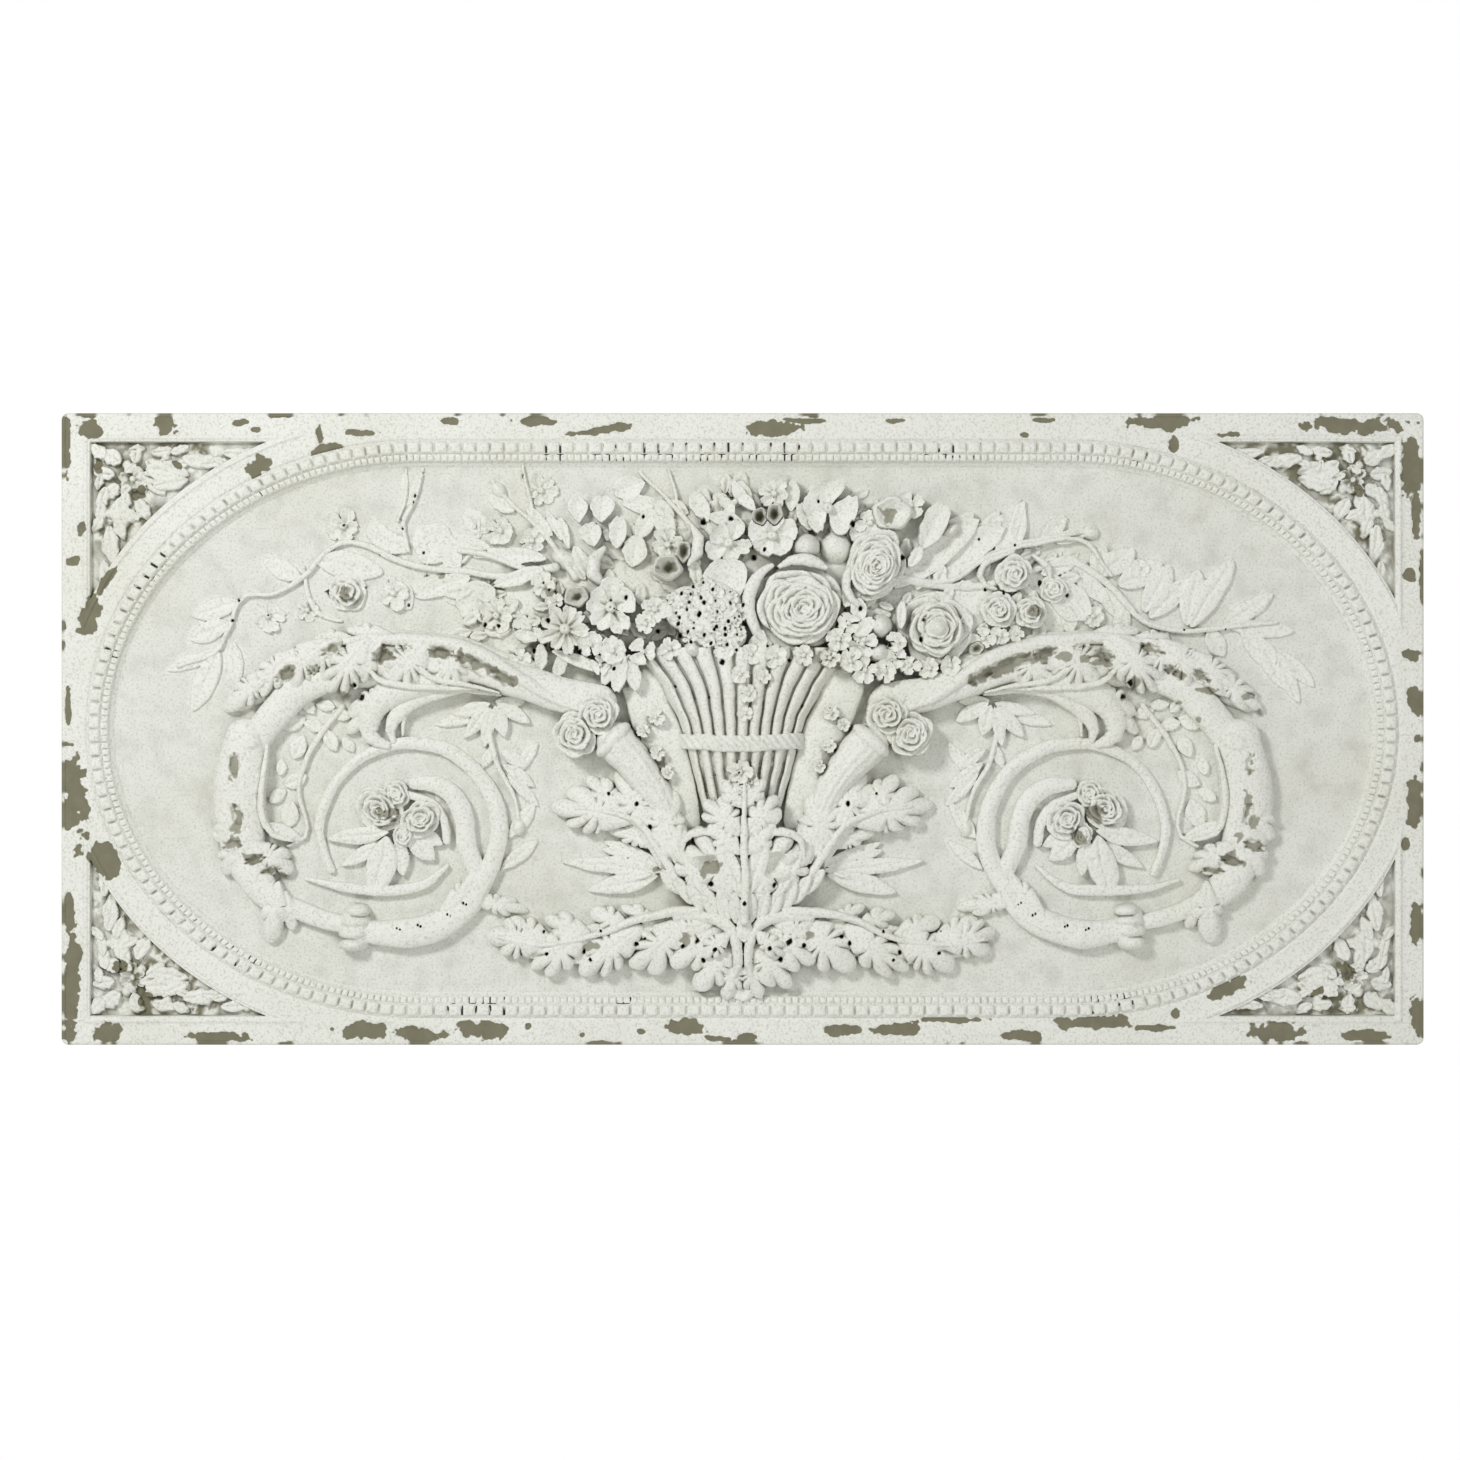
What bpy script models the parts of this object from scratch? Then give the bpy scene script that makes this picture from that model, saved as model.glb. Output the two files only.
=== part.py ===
"""Carved wall panel: an oblong slab with a beaded oval moulding, corner ornaments and, in the sunk
oval, a basket of flowers between two leafy scrolls. It is one casting, so every carving is fused into
the slab.

Metres, +Z up. The origin is the centre of the flat back, which lies against the wall in the plane
y = 0, and the carved face looks along -Y. The panel is modelled lying on its back, with x to the right,
y up the face and the third axis as the height above the back, and is stood up at the end.
"""

import math

import bmesh
import bpy
from mathutils import Matrix, Vector

# Slab and mouldings, in metres
PANEL_WIDTH = 1.350
PANEL_HEIGHT = 0.626
PANEL_THICKNESS = 0.034
CORNER_RADIUS = 0.007
EDGE_ROUNDING = 0.002
SIDE_MARGIN = 0.0245
TOP_MARGIN = 0.026
OVAL_END_REACH = 0.330
FIELD_DEPTH = 0.010
BEAD_WIDTH = 0.013
BEAD_PROUD = 0.0035
SMALL_BEAD_WIDTH = 0.008
FILLET_WIDTH = 0.006
SPANDREL_BAND = 0.027
SPANDREL_MARGIN = 0.0285
SPANDREL_DEPTH = 0.008

# Heights of the carving above the sunk field, in metres
ROOT_DEPTH = 0.004
ROSE_HEIGHT = 0.056
BLOSSOM_HEIGHT = 0.044
BASKET_HEIGHT = 0.042
SCROLL_HEIGHT = 0.024
SHEATH_HEIGHT = 0.029
SPRAY_HEIGHT = 0.020
SPRIG_HEIGHT = 0.008
SPANDREL_CARVING_HEIGHT = 0.009
CANE_RISE = 0.005
GIRDLE_RISE = 0.006
LEAST_HEIGHT = 0.0012
MOULDING_LAP = 0.0008

# The carving is drawn in millimetres about the centre of the oval, for this opening of the moulding
DRAWN_HALF_WIDTH = 624.0
DRAWN_HALF_HEIGHT = 260.0

# Facets
OVAL_END_FACETS = 18
STEM_STEP = 32.0
TWIG_STEP = 40.0
SMALL_BUD = 15.0
LOBE_NOTCH = 0.52
FLAT_ANGLE = 5.0

MOULDING_WIDTH = BEAD_WIDTH + SMALL_BEAD_WIDTH + FILLET_WIDTH
FIELD_LEVEL = PANEL_THICKNESS - FIELD_DEPTH
OVAL_HALF_WIDTH = PANEL_WIDTH / 2 - SIDE_MARGIN
OVAL_HALF_HEIGHT = PANEL_HEIGHT / 2 - TOP_MARGIN
OVAL_HALF_STRAIGHT = OVAL_HALF_WIDTH - OVAL_END_REACH
UNIT = min(
    (OVAL_HALF_WIDTH - MOULDING_WIDTH) / DRAWN_HALF_WIDTH,
    (OVAL_HALF_HEIGHT - MOULDING_WIDTH) / DRAWN_HALF_HEIGHT,
)

# Carving drawn once and mirrored, in drawn millimetres
SCROLL_SPINE = [
    (-128, 38), (-180, 40), (-235, 52), (-290, 66), (-345, 68), (-400, 48), (-445, 18), (-478, -22),
    (-497, -65), (-500, -105), (-487, -145), (-455, -176), (-410, -194), (-365, -200), (-320, -199),
    (-281, -184), (-256, -155),
]
SCROLL_EYE = (-331, -100)
SCROLL_EYE_RADIUS = 86
SCROLL_EYE_TURN = (-18, 212)
SCROLL_THICKNESS = (18, 11, 4)

SIDES = (-1, 1)


# Scene and mesh helpers


def clear_scene():
    for obj in list(bpy.data.objects):
        bpy.data.objects.remove(obj)


def new_collection(name, hidden=False):
    found = bpy.data.collections.new(name)
    found.hide_render = hidden
    bpy.context.scene.collection.children.link(found)
    return found


def new_material(name, colour, roughness):
    found = bpy.data.materials.new(name)
    found.use_nodes = True
    shader = found.node_tree.nodes["Principled BSDF"]
    shader.inputs["Base Color"].default_value = (*colour, 1.0)
    shader.inputs["Roughness"].default_value = roughness
    return found


def mesh_object(name, mesh, target):
    obj = bpy.data.objects.new(name, mesh)
    target.objects.link(obj)
    return obj


def loft(name, sections, target):
    """A closed skin through sections, each a loop of as many points or a single point at an end."""
    bm = bmesh.new()
    loops = [[bm.verts.new(point) for point in section] for section in sections]
    for lower, upper in zip(loops, loops[1:]):
        count = max(len(lower), len(upper))
        for i in range(count):
            j = (i + 1) % count
            below = [lower[i % len(lower)], lower[j % len(lower)]]
            above = [upper[j % len(upper)], upper[i % len(upper)]]
            bm.faces.new(list(dict.fromkeys(below + above)))
    for end in (loops[0], loops[-1]):
        if len(end) > 2:
            bm.faces.new(end)
    bmesh.ops.recalc_face_normals(bm, faces=bm.faces)
    mesh = bpy.data.meshes.new(name)
    bm.to_mesh(mesh)
    bm.free()
    return mesh_object(name, mesh, target)


def evaluated_mesh(obj):
    bpy.context.view_layer.update()
    return bpy.data.meshes.new_from_object(obj.evaluated_get(bpy.context.evaluated_depsgraph_get()))


def as_mesh(obj, target):
    """The evaluated curve as a mesh object, with its caps welded to its sides."""
    found = evaluated_mesh(obj)
    bm = bmesh.new()
    bm.from_mesh(found)
    bmesh.ops.remove_doubles(bm, verts=bm.verts, dist=1e-6)
    bmesh.ops.recalc_face_normals(bm, faces=bm.faces)
    bm.to_mesh(found)
    bm.free()
    made = mesh_object(obj.name + "_mesh", found, target)
    made.matrix_world = obj.matrix_world
    bpy.data.objects.remove(obj)
    return made


def outline_solid(name, points, low, high, target):
    """A flat closed outline, extruded from one height to another."""
    curve = bpy.data.curves.new(name, "CURVE")
    curve.dimensions = "2D"
    curve.fill_mode = "BOTH"
    curve.extrude = (high - low) / 2
    spline = curve.splines.new("POLY")
    spline.points.add(len(points) - 1)
    for place, (x, y) in zip(spline.points, points):
        place.co = (x, y, 0, 1)
    spline.use_cyclic_u = True
    obj = bpy.data.objects.new(name, curve)
    obj.location.z = (high + low) / 2
    target.objects.link(obj)
    return as_mesh(obj, target)


def boolean(obj, operation, others):
    modifier = obj.modifiers.new(operation.title(), "BOOLEAN")
    modifier.operation = operation
    modifier.operand_type = "COLLECTION"
    modifier.collection = others
    modifier.solver = "EXACT"


# Plan geometry


def drawn(x, y):
    """A drawn place on the face, in metres from the centre of the oval."""
    return Vector((x * UNIT, y * UNIT))


def oval_outline(grow, facets=OVAL_END_FACETS):
    """The moulding's outer edge, moved outwards by grow: two straights between half-ellipse ends."""
    points = []
    for side, start in ((1, -90), (-1, 90)):
        for i in range(facets + 1):
            angle = math.radians(start + 180 * i / facets)
            normal = Vector((OVAL_HALF_HEIGHT * math.cos(angle), OVAL_END_REACH * math.sin(angle)))
            normal.normalize()
            x = side * OVAL_HALF_STRAIGHT + OVAL_END_REACH * math.cos(angle) + grow * normal.x
            y = OVAL_HALF_HEIGHT * math.sin(angle) + grow * normal.y
            points.append(Vector((x, y)))
    return points


def smooth_path(points, count):
    """Evenly spread points on a Catmull-Rom curve through the given ones."""
    knots = [Vector(p) for p in points]
    ends = [2 * knots[0] - knots[1], *knots, 2 * knots[-1] - knots[-2]]
    dense = []
    steps = 12
    for p0, p1, p2, p3 in zip(ends, ends[1:], ends[2:], ends[3:]):
        for i in range(steps):
            t = i / steps
            dense.append(
                0.5 * (2 * p1 + (p2 - p0) * t + (2 * p0 - 5 * p1 + 4 * p2 - p3) * t**2
                       + (3 * p1 - p0 - 3 * p2 + p3) * t**3)
            )
    dense.append(knots[-1])
    lengths = [0.0]
    for a, b in zip(dense, dense[1:]):
        lengths.append(lengths[-1] + (b - a).length)
    found = []
    for i in range(count):
        target = lengths[-1] * i / (count - 1)
        k = max(1, next((n for n, length in enumerate(lengths) if length >= target), len(lengths) - 1))
        share = (target - lengths[k - 1]) / max(lengths[k] - lengths[k - 1], 1e-9)
        found.append(dense[k - 1].lerp(dense[k], share))
    return found


def path_length(points):
    return sum((Vector(b) - Vector(a)).length for a, b in zip(points, points[1:]))


def arc(centre, radius, start, end, count):
    """Points on a circle from one angle to another, in degrees."""
    return [
        (
            centre[0] + radius * math.cos(math.radians(start + (end - start) * i / (count - 1))),
            centre[1] + radius * math.sin(math.radians(start + (end - start) * i / (count - 1))),
        )
        for i in range(count)
    ]


def mirrored(points, side):
    """Points drawn on the left, kept there for side -1 and reflected to the right for side 1."""
    return [(-side * x, y) for x, y in points]


# Carved motifs. Heights are above the sunk field, and each motif is rooted a little below it.

LEAF_PROFILE = ((-1.0, 0.5), (0.0, 0.0), (1.0, 0.5))
STEM_PROFILE = ((-0.8, 0.55), (0.0, 0.0), (0.8, 0.55))
KEEL_PROFILE = ((0.0, 0.0),)

class Carver:
    """Makes the motifs in one collection, each rooted at its own depth, so no two undersides are level."""

    def __init__(self, target, level):
        self.target = target
        self.level = level
        self.count = 0

    def root(self):
        self.count += 1
        return self.level - ROOT_DEPTH * (1 + 0.02 * (self.count % 11))

    def flower(self, name, x, y, radius, top, tiers, petals, squash=1.0, lean=0.0):
        """A flower head. Each tier gives a loop's share of the radius, its drop from the top and its notch."""
        centre, crown, low = drawn(x, y), self.level + top, self.level + LEAST_HEIGHT
        turn, lean = 0.37 * self.count, math.radians(lean)

        def loop(share, height, notch):
            points = []
            for i in range(2 * petals):
                angle = math.pi * i / petals + turn
                reach = radius * UNIT * share * (1 - notch * (i % 2))
                offset = Vector((reach * math.cos(angle), squash * reach * math.sin(angle)))
                offset.rotate(Matrix.Rotation(lean, 2))
                points.append((*(centre + offset), height))
            return points

        sections = [loop(1.03 * tiers[0][0], self.root(), tiers[0][2])]
        for share, drop, notch in tiers:
            sections.append(loop(share, max(crown - drop * radius * UNIT, low), notch))
        sections.append([(*centre, max(crown - 0.14 * radius * UNIT, low))])
        return loft(name, sections, self.target)

    def bud(self, name, x, y, length, width, top, turn=0.0):
        """A domed bud or boss, longer along turn."""
        centre, floor = drawn(x, y), self.root()
        sections = []
        shoulders = ((0.97, 0.45), (0.62, 0.88)) if length > SMALL_BUD else ((0.80, 0.75),)
        for share, rise in ((1.02, None), *shoulders):
            height = floor if rise is None else self.level + rise * top
            loop = []
            for i in range(6):
                angle = math.pi * i / 3
                offset = Vector((length * math.cos(angle), width * math.sin(angle))) * share * UNIT
                offset.rotate(Matrix.Rotation(math.radians(turn), 2))
                loop.append((*(centre + offset), height))
            sections.append(loop)
        sections.append([(*centre, self.level + top)])
        return loft(name, sections, self.target)

    def ridge(self, name, places, halves, crowns, profile, tip=True):
        """A loft along places. Profile gives each corner's share of the half width and its drop from the crown."""
        floor, sections = self.root(), []
        last = len(places) - 1
        for i, (place, half, crown) in enumerate(zip(places, halves, crowns)):
            ahead = places[min(i + 1, last)] - places[max(i - 1, 0)]
            across = Vector((-ahead.y, ahead.x)).normalized()
            if tip and i == last:
                sections.append([(*place, self.level + max(0.5 * crown, LEAST_HEIGHT))])
                continue
            section = [(*(place - 1.02 * half * across), floor)]
            for share, drop in profile:
                height = self.level + max(crown - drop * half, LEAST_HEIGHT)
                section.append((*(place + share * half * across), height))
            section.append((*(place + 1.02 * half * across), floor))
            sections.append(section)
        return loft(name, sections, self.target)

    def leaf(self, name, spine, width, heights, lobes=0, profile=LEAF_PROFILE):
        """A leaf along spine with a raised midrib; a lobed one is wide at each lobe and narrow at each notch."""
        count = 2 * lobes + 2 if lobes else 3
        places = [drawn(*p) for p in smooth_path(spine, count + 1)]
        halves, crowns = [], []
        for i in range(count + 1):
            t = i / count
            outline = math.sin(math.pi * (0.14 + 0.76 * t))
            if lobes:
                outline = (0.55 + 0.45 * outline) * (1.0 if i % 2 else LOBE_NOTCH)
            halves.append(0.5 * width * outline * UNIT)
            crowns.append(heights[0] + (heights[1] - heights[0]) * t)
        return self.ridge(name, places, halves, crowns, profile)

    def keel(self, name, spine, width, heights):
        """A small leaf of two slopes that meet in its midrib."""
        return self.leaf(name, spine, 1.15 * width, heights, profile=KEEL_PROFILE)

    def stem(self, name, points, thickness, height, step, profile=STEM_PROFILE):
        """A rounded stem whose half width goes from the first thickness through the others to the last."""
        count = max(3, round(path_length(points) / step) + 1)
        places = [drawn(*p) for p in smooth_path(points, count)]
        halves, crowns = [], []
        for i in range(count):
            share = i / (count - 1) * (len(thickness) - 1)
            k = min(int(share), len(thickness) - 2)
            halves.append((thickness[k] + (thickness[k + 1] - thickness[k]) * (share - k)) * UNIT)
            crowns.append(height[0] + (height[1] - height[0]) * i / (count - 1))
        return self.ridge(name, places, halves, crowns, profile, tip=False)

    def twig(self, name, points, thickness, height):
        """A thin stem of two slopes."""
        return self.stem(name, points, thickness, (height, height), TWIG_STEP, profile=KEEL_PROFILE)


ROSE_TIERS = [(1.00, 0.46, 0.12), (0.80, 0.08, 0.08), (0.52, 0.26, 0.03), (0.40, 0.00, 0.05)]
SMALL_ROSE_TIERS = [(1.00, 0.42, 0.12), (0.74, 0.06, 0.08), (0.44, 0.22, 0.00)]
BLOSSOM_TIERS = [(1.00, 0.26, 0.28), (0.62, 0.00, 0.14)]


# Slab and mouldings


def rounded_rectangle(width, height, radius, facets=4):
    points = []
    for i, (sx, sy) in enumerate(((1, 1), (-1, 1), (-1, -1), (1, -1))):
        centre = (sx * (width / 2 - radius), sy * (height / 2 - radius))
        points += arc(centre, radius, 90 * i, 90 * i + 90, facets + 1)
    return points


def spandrel_outline(sx, sy):
    """The corner left between the slab's margins and a band that follows the oval."""
    x_edge = PANEL_WIDTH / 2 - SPANDREL_MARGIN
    y_edge = PANEL_HEIGHT / 2 - SPANDREL_MARGIN
    curve = [p for p in oval_outline(SPANDREL_BAND) if 0 < p.x < x_edge and 0 < p.y < y_edge]
    return [(sx * p.x, sy * p.y) for p in [Vector((x_edge, y_edge)), *reversed(curve)]]


def make_slab(cutters, target):
    slab = outline_solid(
        "slab", rounded_rectangle(PANEL_WIDTH, PANEL_HEIGHT, CORNER_RADIUS), 0, PANEL_THICKNESS, target
    )
    bevel = slab.modifiers.new("Edges", "BEVEL")
    bevel.width = EDGE_ROUNDING
    bevel.segments = 1
    bevel.limit_method = "ANGLE"
    bevel.angle_limit = math.radians(60)
    above = 1.3 * PANEL_THICKNESS
    outline_solid("field_cut", oval_outline(-0.5 * MOULDING_WIDTH), FIELD_LEVEL, above, cutters)
    for sx in SIDES:
        for sy in SIDES:
            floor = PANEL_THICKNESS - SPANDREL_DEPTH
            outline_solid("spandrel_cut", spandrel_outline(sx, sy), floor, above, cutters)
    boolean(slab, "DIFFERENCE", cutters)
    return slab


def moulding(target):
    """The oval moulding: a course of beads, a finer one inside it and a fillet down to the field."""
    low = FIELD_LEVEL - 1.3 * ROOT_DEPTH
    fine = BEAD_WIDTH + SMALL_BEAD_WIDTH
    profile = [
        (-MOULDING_LAP, low),
        (-MOULDING_LAP, PANEL_THICKNESS + 0.17 * BEAD_PROUD),
        (0.25 * BEAD_WIDTH, PANEL_THICKNESS + BEAD_PROUD),
        (0.80 * BEAD_WIDTH, PANEL_THICKNESS + BEAD_PROUD),
        (BEAD_WIDTH, PANEL_THICKNESS + 0.2 * BEAD_PROUD),
        (fine, FIELD_LEVEL + 0.65 * FIELD_DEPTH),
        (MOULDING_WIDTH, FIELD_LEVEL + 0.25 * FIELD_DEPTH),
        (MOULDING_WIDTH, low),
    ]
    bm = bmesh.new()
    rings = [[bm.verts.new((*p, height)) for p in oval_outline(-inset)] for inset, height in profile]
    count = len(rings[0])
    for inner, outer in zip(rings, rings[1:] + rings[:1]):
        for i in range(count):
            j = (i + 1) % count
            bm.faces.new((inner[i], inner[j], outer[j], outer[i]))
    bmesh.ops.recalc_face_normals(bm, faces=bm.faces)
    mesh = bpy.data.meshes.new("moulding")
    bm.to_mesh(mesh)
    bm.free()
    return mesh_object("moulding", mesh, target)


# Basket


BASKET_STATIONS = [(-112, 26, 0.62), (-60, 44, 0.82), (-14, 60, 0.96), (25, 78, 1.0), (68, 104, 0.96)]


def basket_size(y):
    """The basket's half width, in drawn millimetres, and its height above the field at a drawn y."""
    for (y0, w0, h0), (y1, w1, h1) in zip(BASKET_STATIONS, BASKET_STATIONS[1:]):
        if y <= y1 or y1 == BASKET_STATIONS[-1][0]:
            t = (y - y0) / (y1 - y0)
            return w0 + (w1 - w0) * t, BASKET_HEIGHT * (h0 + (h1 - h0) * t)


def basket_slice(carver, name, levels, grow=0.0, proud=0.0):
    """The rounded front of the basket between drawn levels."""
    floor, sections = carver.root(), []
    for y in levels:
        half, height = basket_size(y)
        section = []
        for i in range(9):
            angle = math.pi * i / 8
            rise = max((height + proud) * math.sin(angle), 0.0) + carver.level
            section.append((*drawn((half + grow) * math.cos(angle), y), floor if i in (0, 8) else rise))
        sections.append(section)
    return loft(name, sections, carver.target)


def basket_cane(carver, name, share, bottom, top, half_width):
    """One cane of the basket, lying on its rounded front."""
    places, crowns = [], []
    for i in range(3):
        y = bottom + (top - bottom) * i / 2
        half, height = basket_size(y)
        places.append(drawn(share * half, y))
        crowns.append(height * math.sqrt(1 - share**2) + CANE_RISE)
    carver.ridge(name, places, [half_width * UNIT] * 3, crowns, ((-0.6, 0.3), (0.6, 0.3)), tip=False)


def carve_basket(carver):
    basket_slice(carver, "basket_front", (-112, -60, -14, 25, 68))
    basket_slice(carver, "basket_girdle", (-22, -6), grow=6, proud=GIRDLE_RISE)
    for i in range(9):
        basket_cane(carver, "upper_cane", -0.90 + 0.225 * i, -12, 72, 7.0)
    for i in range(6):
        basket_cane(carver, "lower_cane", -0.80 + 0.320 * i, -104, -16, 6.5)
    top = BASKET_HEIGHT
    carver.leaf("front_leaf", [(0, -160), (0, -110), (0, -34)], 88, (1.10 * top, 1.19 * top), lobes=3)
    for side in SIDES:
        curl = mirrored([(-14, -160), (-36, -148), (-46, -122), (-32, -98)], side)
        carver.leaf("curled_leaf", curl, 48, (0.90 * top, 1.14 * top), lobes=2)
        volute = mirrored(arc((-36, -221), 27, -70, 150, 7), side)
        carver.leaf("foot_volute", volute, 42, (0.76 * top, 0.62 * top), lobes=3)
        for i in range(4):
            x, y = side * (15 + 13.5 * i), -178 + 2.6 * i
            carver.bud("tongue", x, y, 15, 8, top * (1 - 0.07 * i), 90 - side * (12 + 9 * i))
    carver.bud("middle_tongue", 0, -180, 15, 8, top, 90)
    carver.bud("calyx", 0, -172, 68, 24, 0.81 * top)
    carver.bud("foot_drop", 0, -262, 17, 9, 0.38 * top)


# Scrolls


def carve_scroll(carver, side):
    eye = arc(SCROLL_EYE, SCROLL_EYE_RADIUS, *SCROLL_EYE_TURN, 11)
    rises = (SCROLL_HEIGHT, 0.45 * SCROLL_HEIGHT)
    carver.stem("scroll_stem", mirrored([*SCROLL_SPINE, *eye], side), SCROLL_THICKNESS, rises, STEM_STEP)
    sheaths = [
        ([(-212, 52), (-290, 72), (-350, 76), (-402, 60)], 46, 1.0, 5),
        ([(-352, 84), (-420, 68), (-472, 46), (-512, 24)], 34, 0.8, 4),
        ([(-330, 56), (-366, 38), (-380, 10), (-366, -14)], 42, 0.7, 3),
        ([(-488, -10), (-503, -55), (-503, -112)], 40, 0.9, 3),
        ([(-508, -112), (-496, -150), (-466, -178), (-456, -210)], 34, 0.7, 2),
        ([(-368, -200), (-320, -203), (-280, -190), (-250, -166)], 29, 0.6, 2),
    ]
    for points, width, share, lobes in sheaths:
        top = SHEATH_HEIGHT * share
        carver.leaf("scroll_leaf", mirrored(points, side), width, (top, 0.85 * top), lobes)
    blades = [
        ([(-480, -92), (-464, -112), (-438, -106)], 14, 0.42),
        ([(-262, -172), (-236, -167), (-212, -180)], 17, 0.33),
        ([(-270, -152), (-266, -108), (-284, -62), (-326, -50)], 20, 0.42),
        ([(-298, -140), (-335, -156), (-380, -158), (-430, -151)], 19, 0.33),
        ([(-352, -100), (-412, -113)], 20, 0.58),
        ([(-346, -106), (-342, -156)], 26, 0.58),
    ]
    for points, width, share in blades:
        top = SCROLL_HEIGHT * share
        carver.keel("scroll_blade", mirrored(points, side), width, (top, 0.6 * top))
    carver.flower("scroll_flower", side * 335, -92, 40, 1.08 * SCROLL_HEIGHT, BLOSSOM_TIERS, 6)
    carver.bud("collar", side * 385, -197, 15, 22, 0.75 * SCROLL_HEIGHT)
    buds = [(-440, -18, 10), (-408, -8, 10), (-400, 18, 10), (-443, -50, 11), (-449, -88, 14)]
    for x, y, radius in buds:
        carver.bud("berry", -side * x, y, radius, radius, SPRIG_HEIGHT)
    low = 0.75 * SPRIG_HEIGHT
    berries = mirrored([(-398, 24), (-426, -16), (-438, -56), (-430, -102)], side)
    carver.twig("berry_stem", berries, (4, 3), low)
    knot = (-246, 24)
    for tip in ((-288, 4), (-262, -16), (-238, -20), (-216, 2)):
        carver.keel("husk", mirrored([knot, tip], side), 17, (1.1 * SPRIG_HEIGHT, low))
    drop = mirrored([(-250, -10), (-240, -40), (-226, -64), (-222, -94)], side)
    carver.twig("husk_stem", drop, (5, 4), low)
    carver.bud("husk_bud", side * 222, -96, 8, 9, SPRIG_HEIGHT)
    carver.keel("husk_leaf", mirrored([(-240, -30), (-202, -62)], side), 18, (0.9 * SPRIG_HEIGHT, low))


# Sprays of leaves beside the basket's foot


def carve_sprays(carver, side):
    top = SPRAY_HEIGHT
    low = [(-46, -196), (-100, -200), (-170, -214), (-252, -208)]
    carver.leaf("low_spray", mirrored(low, side), 52, (1.3 * top, 0.8 * top), lobes=5)
    upper = [(-66, -140), (-92, -86), (-136, -52)]
    carver.leaf("upper_spray", mirrored(upper, side), 44, (1.6 * top, top), lobes=3)
    middle = [(-72, -140), (-122, -88), (-190, -74)]
    carver.leaf("middle_spray", mirrored(middle, side), 36, (1.1 * top, 0.7 * top), lobes=3)
    for tip, width in (((-146, -106), 18), ((-184, -130), 21), ((-156, -160), 26)):
        carver.keel("spray_blade", mirrored([(-70, -148), tip], side), width, (0.7 * top, 0.3 * top))
    horn = [(-56, -112), (-88, -56), (-124, -16)]
    carver.stem("horn", mirrored(horn, side), (12, 17, 22), (1.5 * top, 1.8 * top), STEM_STEP)
    for x, y, radius in ((-136, 15, 21), (-161, -6, 22)):
        carver.flower("horn_rose", -side * x, y, radius, 0.61 * ROSE_HEIGHT, SMALL_ROSE_TIERS, 4)


# Flowers above the basket


ROSES = [
    (50, 122, 46, 1.00, 1.0, 0), (128, 157, 33, 0.90, 0.80, 80), (189, 98, 36, 0.80, 1.0, 0),
]
SMALL_ROSES = [(245, 118, 19, 0.50), (285, 115, 18, 0.42), (268, 150, 21, 0.48), (-393, 132, 20, 0.22)]
BLOSSOMS = [
    (28, 190, 27, 5, 0.95), (18, 226, 22, 5, 0.62), (88, 208, 28, 4, 0.85), (90, 178, 22, 5, 0.80),
    (144, 212, 20, 4, 0.60), (122, 92, 30, 5, 0.95), (92, 78, 18, 5, 0.85), (-125, 115, 31, 6, 1.05),
    (-176, 93, 28, 7, 0.90), (-188, 134, 23, 5, 0.70), (-56, 112, 35, 8, 1.15), (-24, 98, 27, 8, 1.10),
    (-90, 120, 20, 5, 0.90), (-76, 170, 34, 5, 0.90), (-14, 186, 25, 5, 0.80), (-152, 206, 27, 5, 0.35),
    (-236, 196, 24, 5, 0.25), (-260, 112, 28, 5, 0.45), (-110, 78, 21, 5, 0.90),
    (312, 142, 20, 5, 0.35), (-402, 198, 22, 5, 0.18), (8, 66, 18, 5, 1.05), (34, 74, 14, 5, 1.05),
    (-36, 76, 16, 5, 1.05),
]
BUDS = [
    (62, 180, 13, 12, 0, 0.95), (-117, 52, 19, 12, 95, 0.82), (112, 66, 14, 13, 0, 0.91),
    (190, 206, 24, 13, 70, 0.68), (236, 212, 22, 13, 60, 0.41), (168, 168, 15, 7, 60, 0.77),
    (-14, 226, 14, 11, 60, 0.64), (-36, 218, 14, 9, 120, 0.50), (-205, 72, 13, 9, 100, 0.59),
    (4, 40, 10, 12, 0, 1.23), (8, 22, 9, 9, 0, 1.18), (-160, 150, 14, 12, 0, 0.59),
]
BOUQUET_LEAVES = [
    ((-8, 166), (-10, 118), 46, 0.91), ((100, 130), (104, 92), 22, 0.86),
    ((140, 84), (136, 54), 26, 0.77), ((150, 130), (222, 226), 34, 0.50),
    ((200, 150), (262, 232), 30, 0.32), ((150, 128), (160, 82), 18, 0.77),
    ((-142, 170), (-146, 136), 24, 0.68), ((-196, 152), (-262, 172), 20, 0.45),
    ((-196, 148), (-256, 146), 17, 0.45), ((-232, 96), (-292, 74), 30, 0.50),
    ((330, 170), (366, 96), 50, 0.27), ((300, 130), (322, 92), 34, 0.32),
    ((250, 150), (330, 186), 18, 0.18), ((272, 178), (290, 236), 20, 0.16),
    ((312, 182), (346, 208), 22, 0.14), ((-120, 190), (-104, 148), 30, 0.50),
    ((-230, 92), (-214, 62), 22, 0.55), ((220, 96), (236, 66), 22, 0.59),
    ((-210, 222), (-186, 246), 26, 0.14), ((-250, 205), (-320, 228), 26, 0.14),
    ((-300, 150), (-320, 200), 34, 0.14), ((-90, 205), (-126, 232), 18, 0.23),
    ((-280, 150), (-262, 128), 26, 0.18), ((-70, 240), (-84, 262), 14, 0.23),
]
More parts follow.
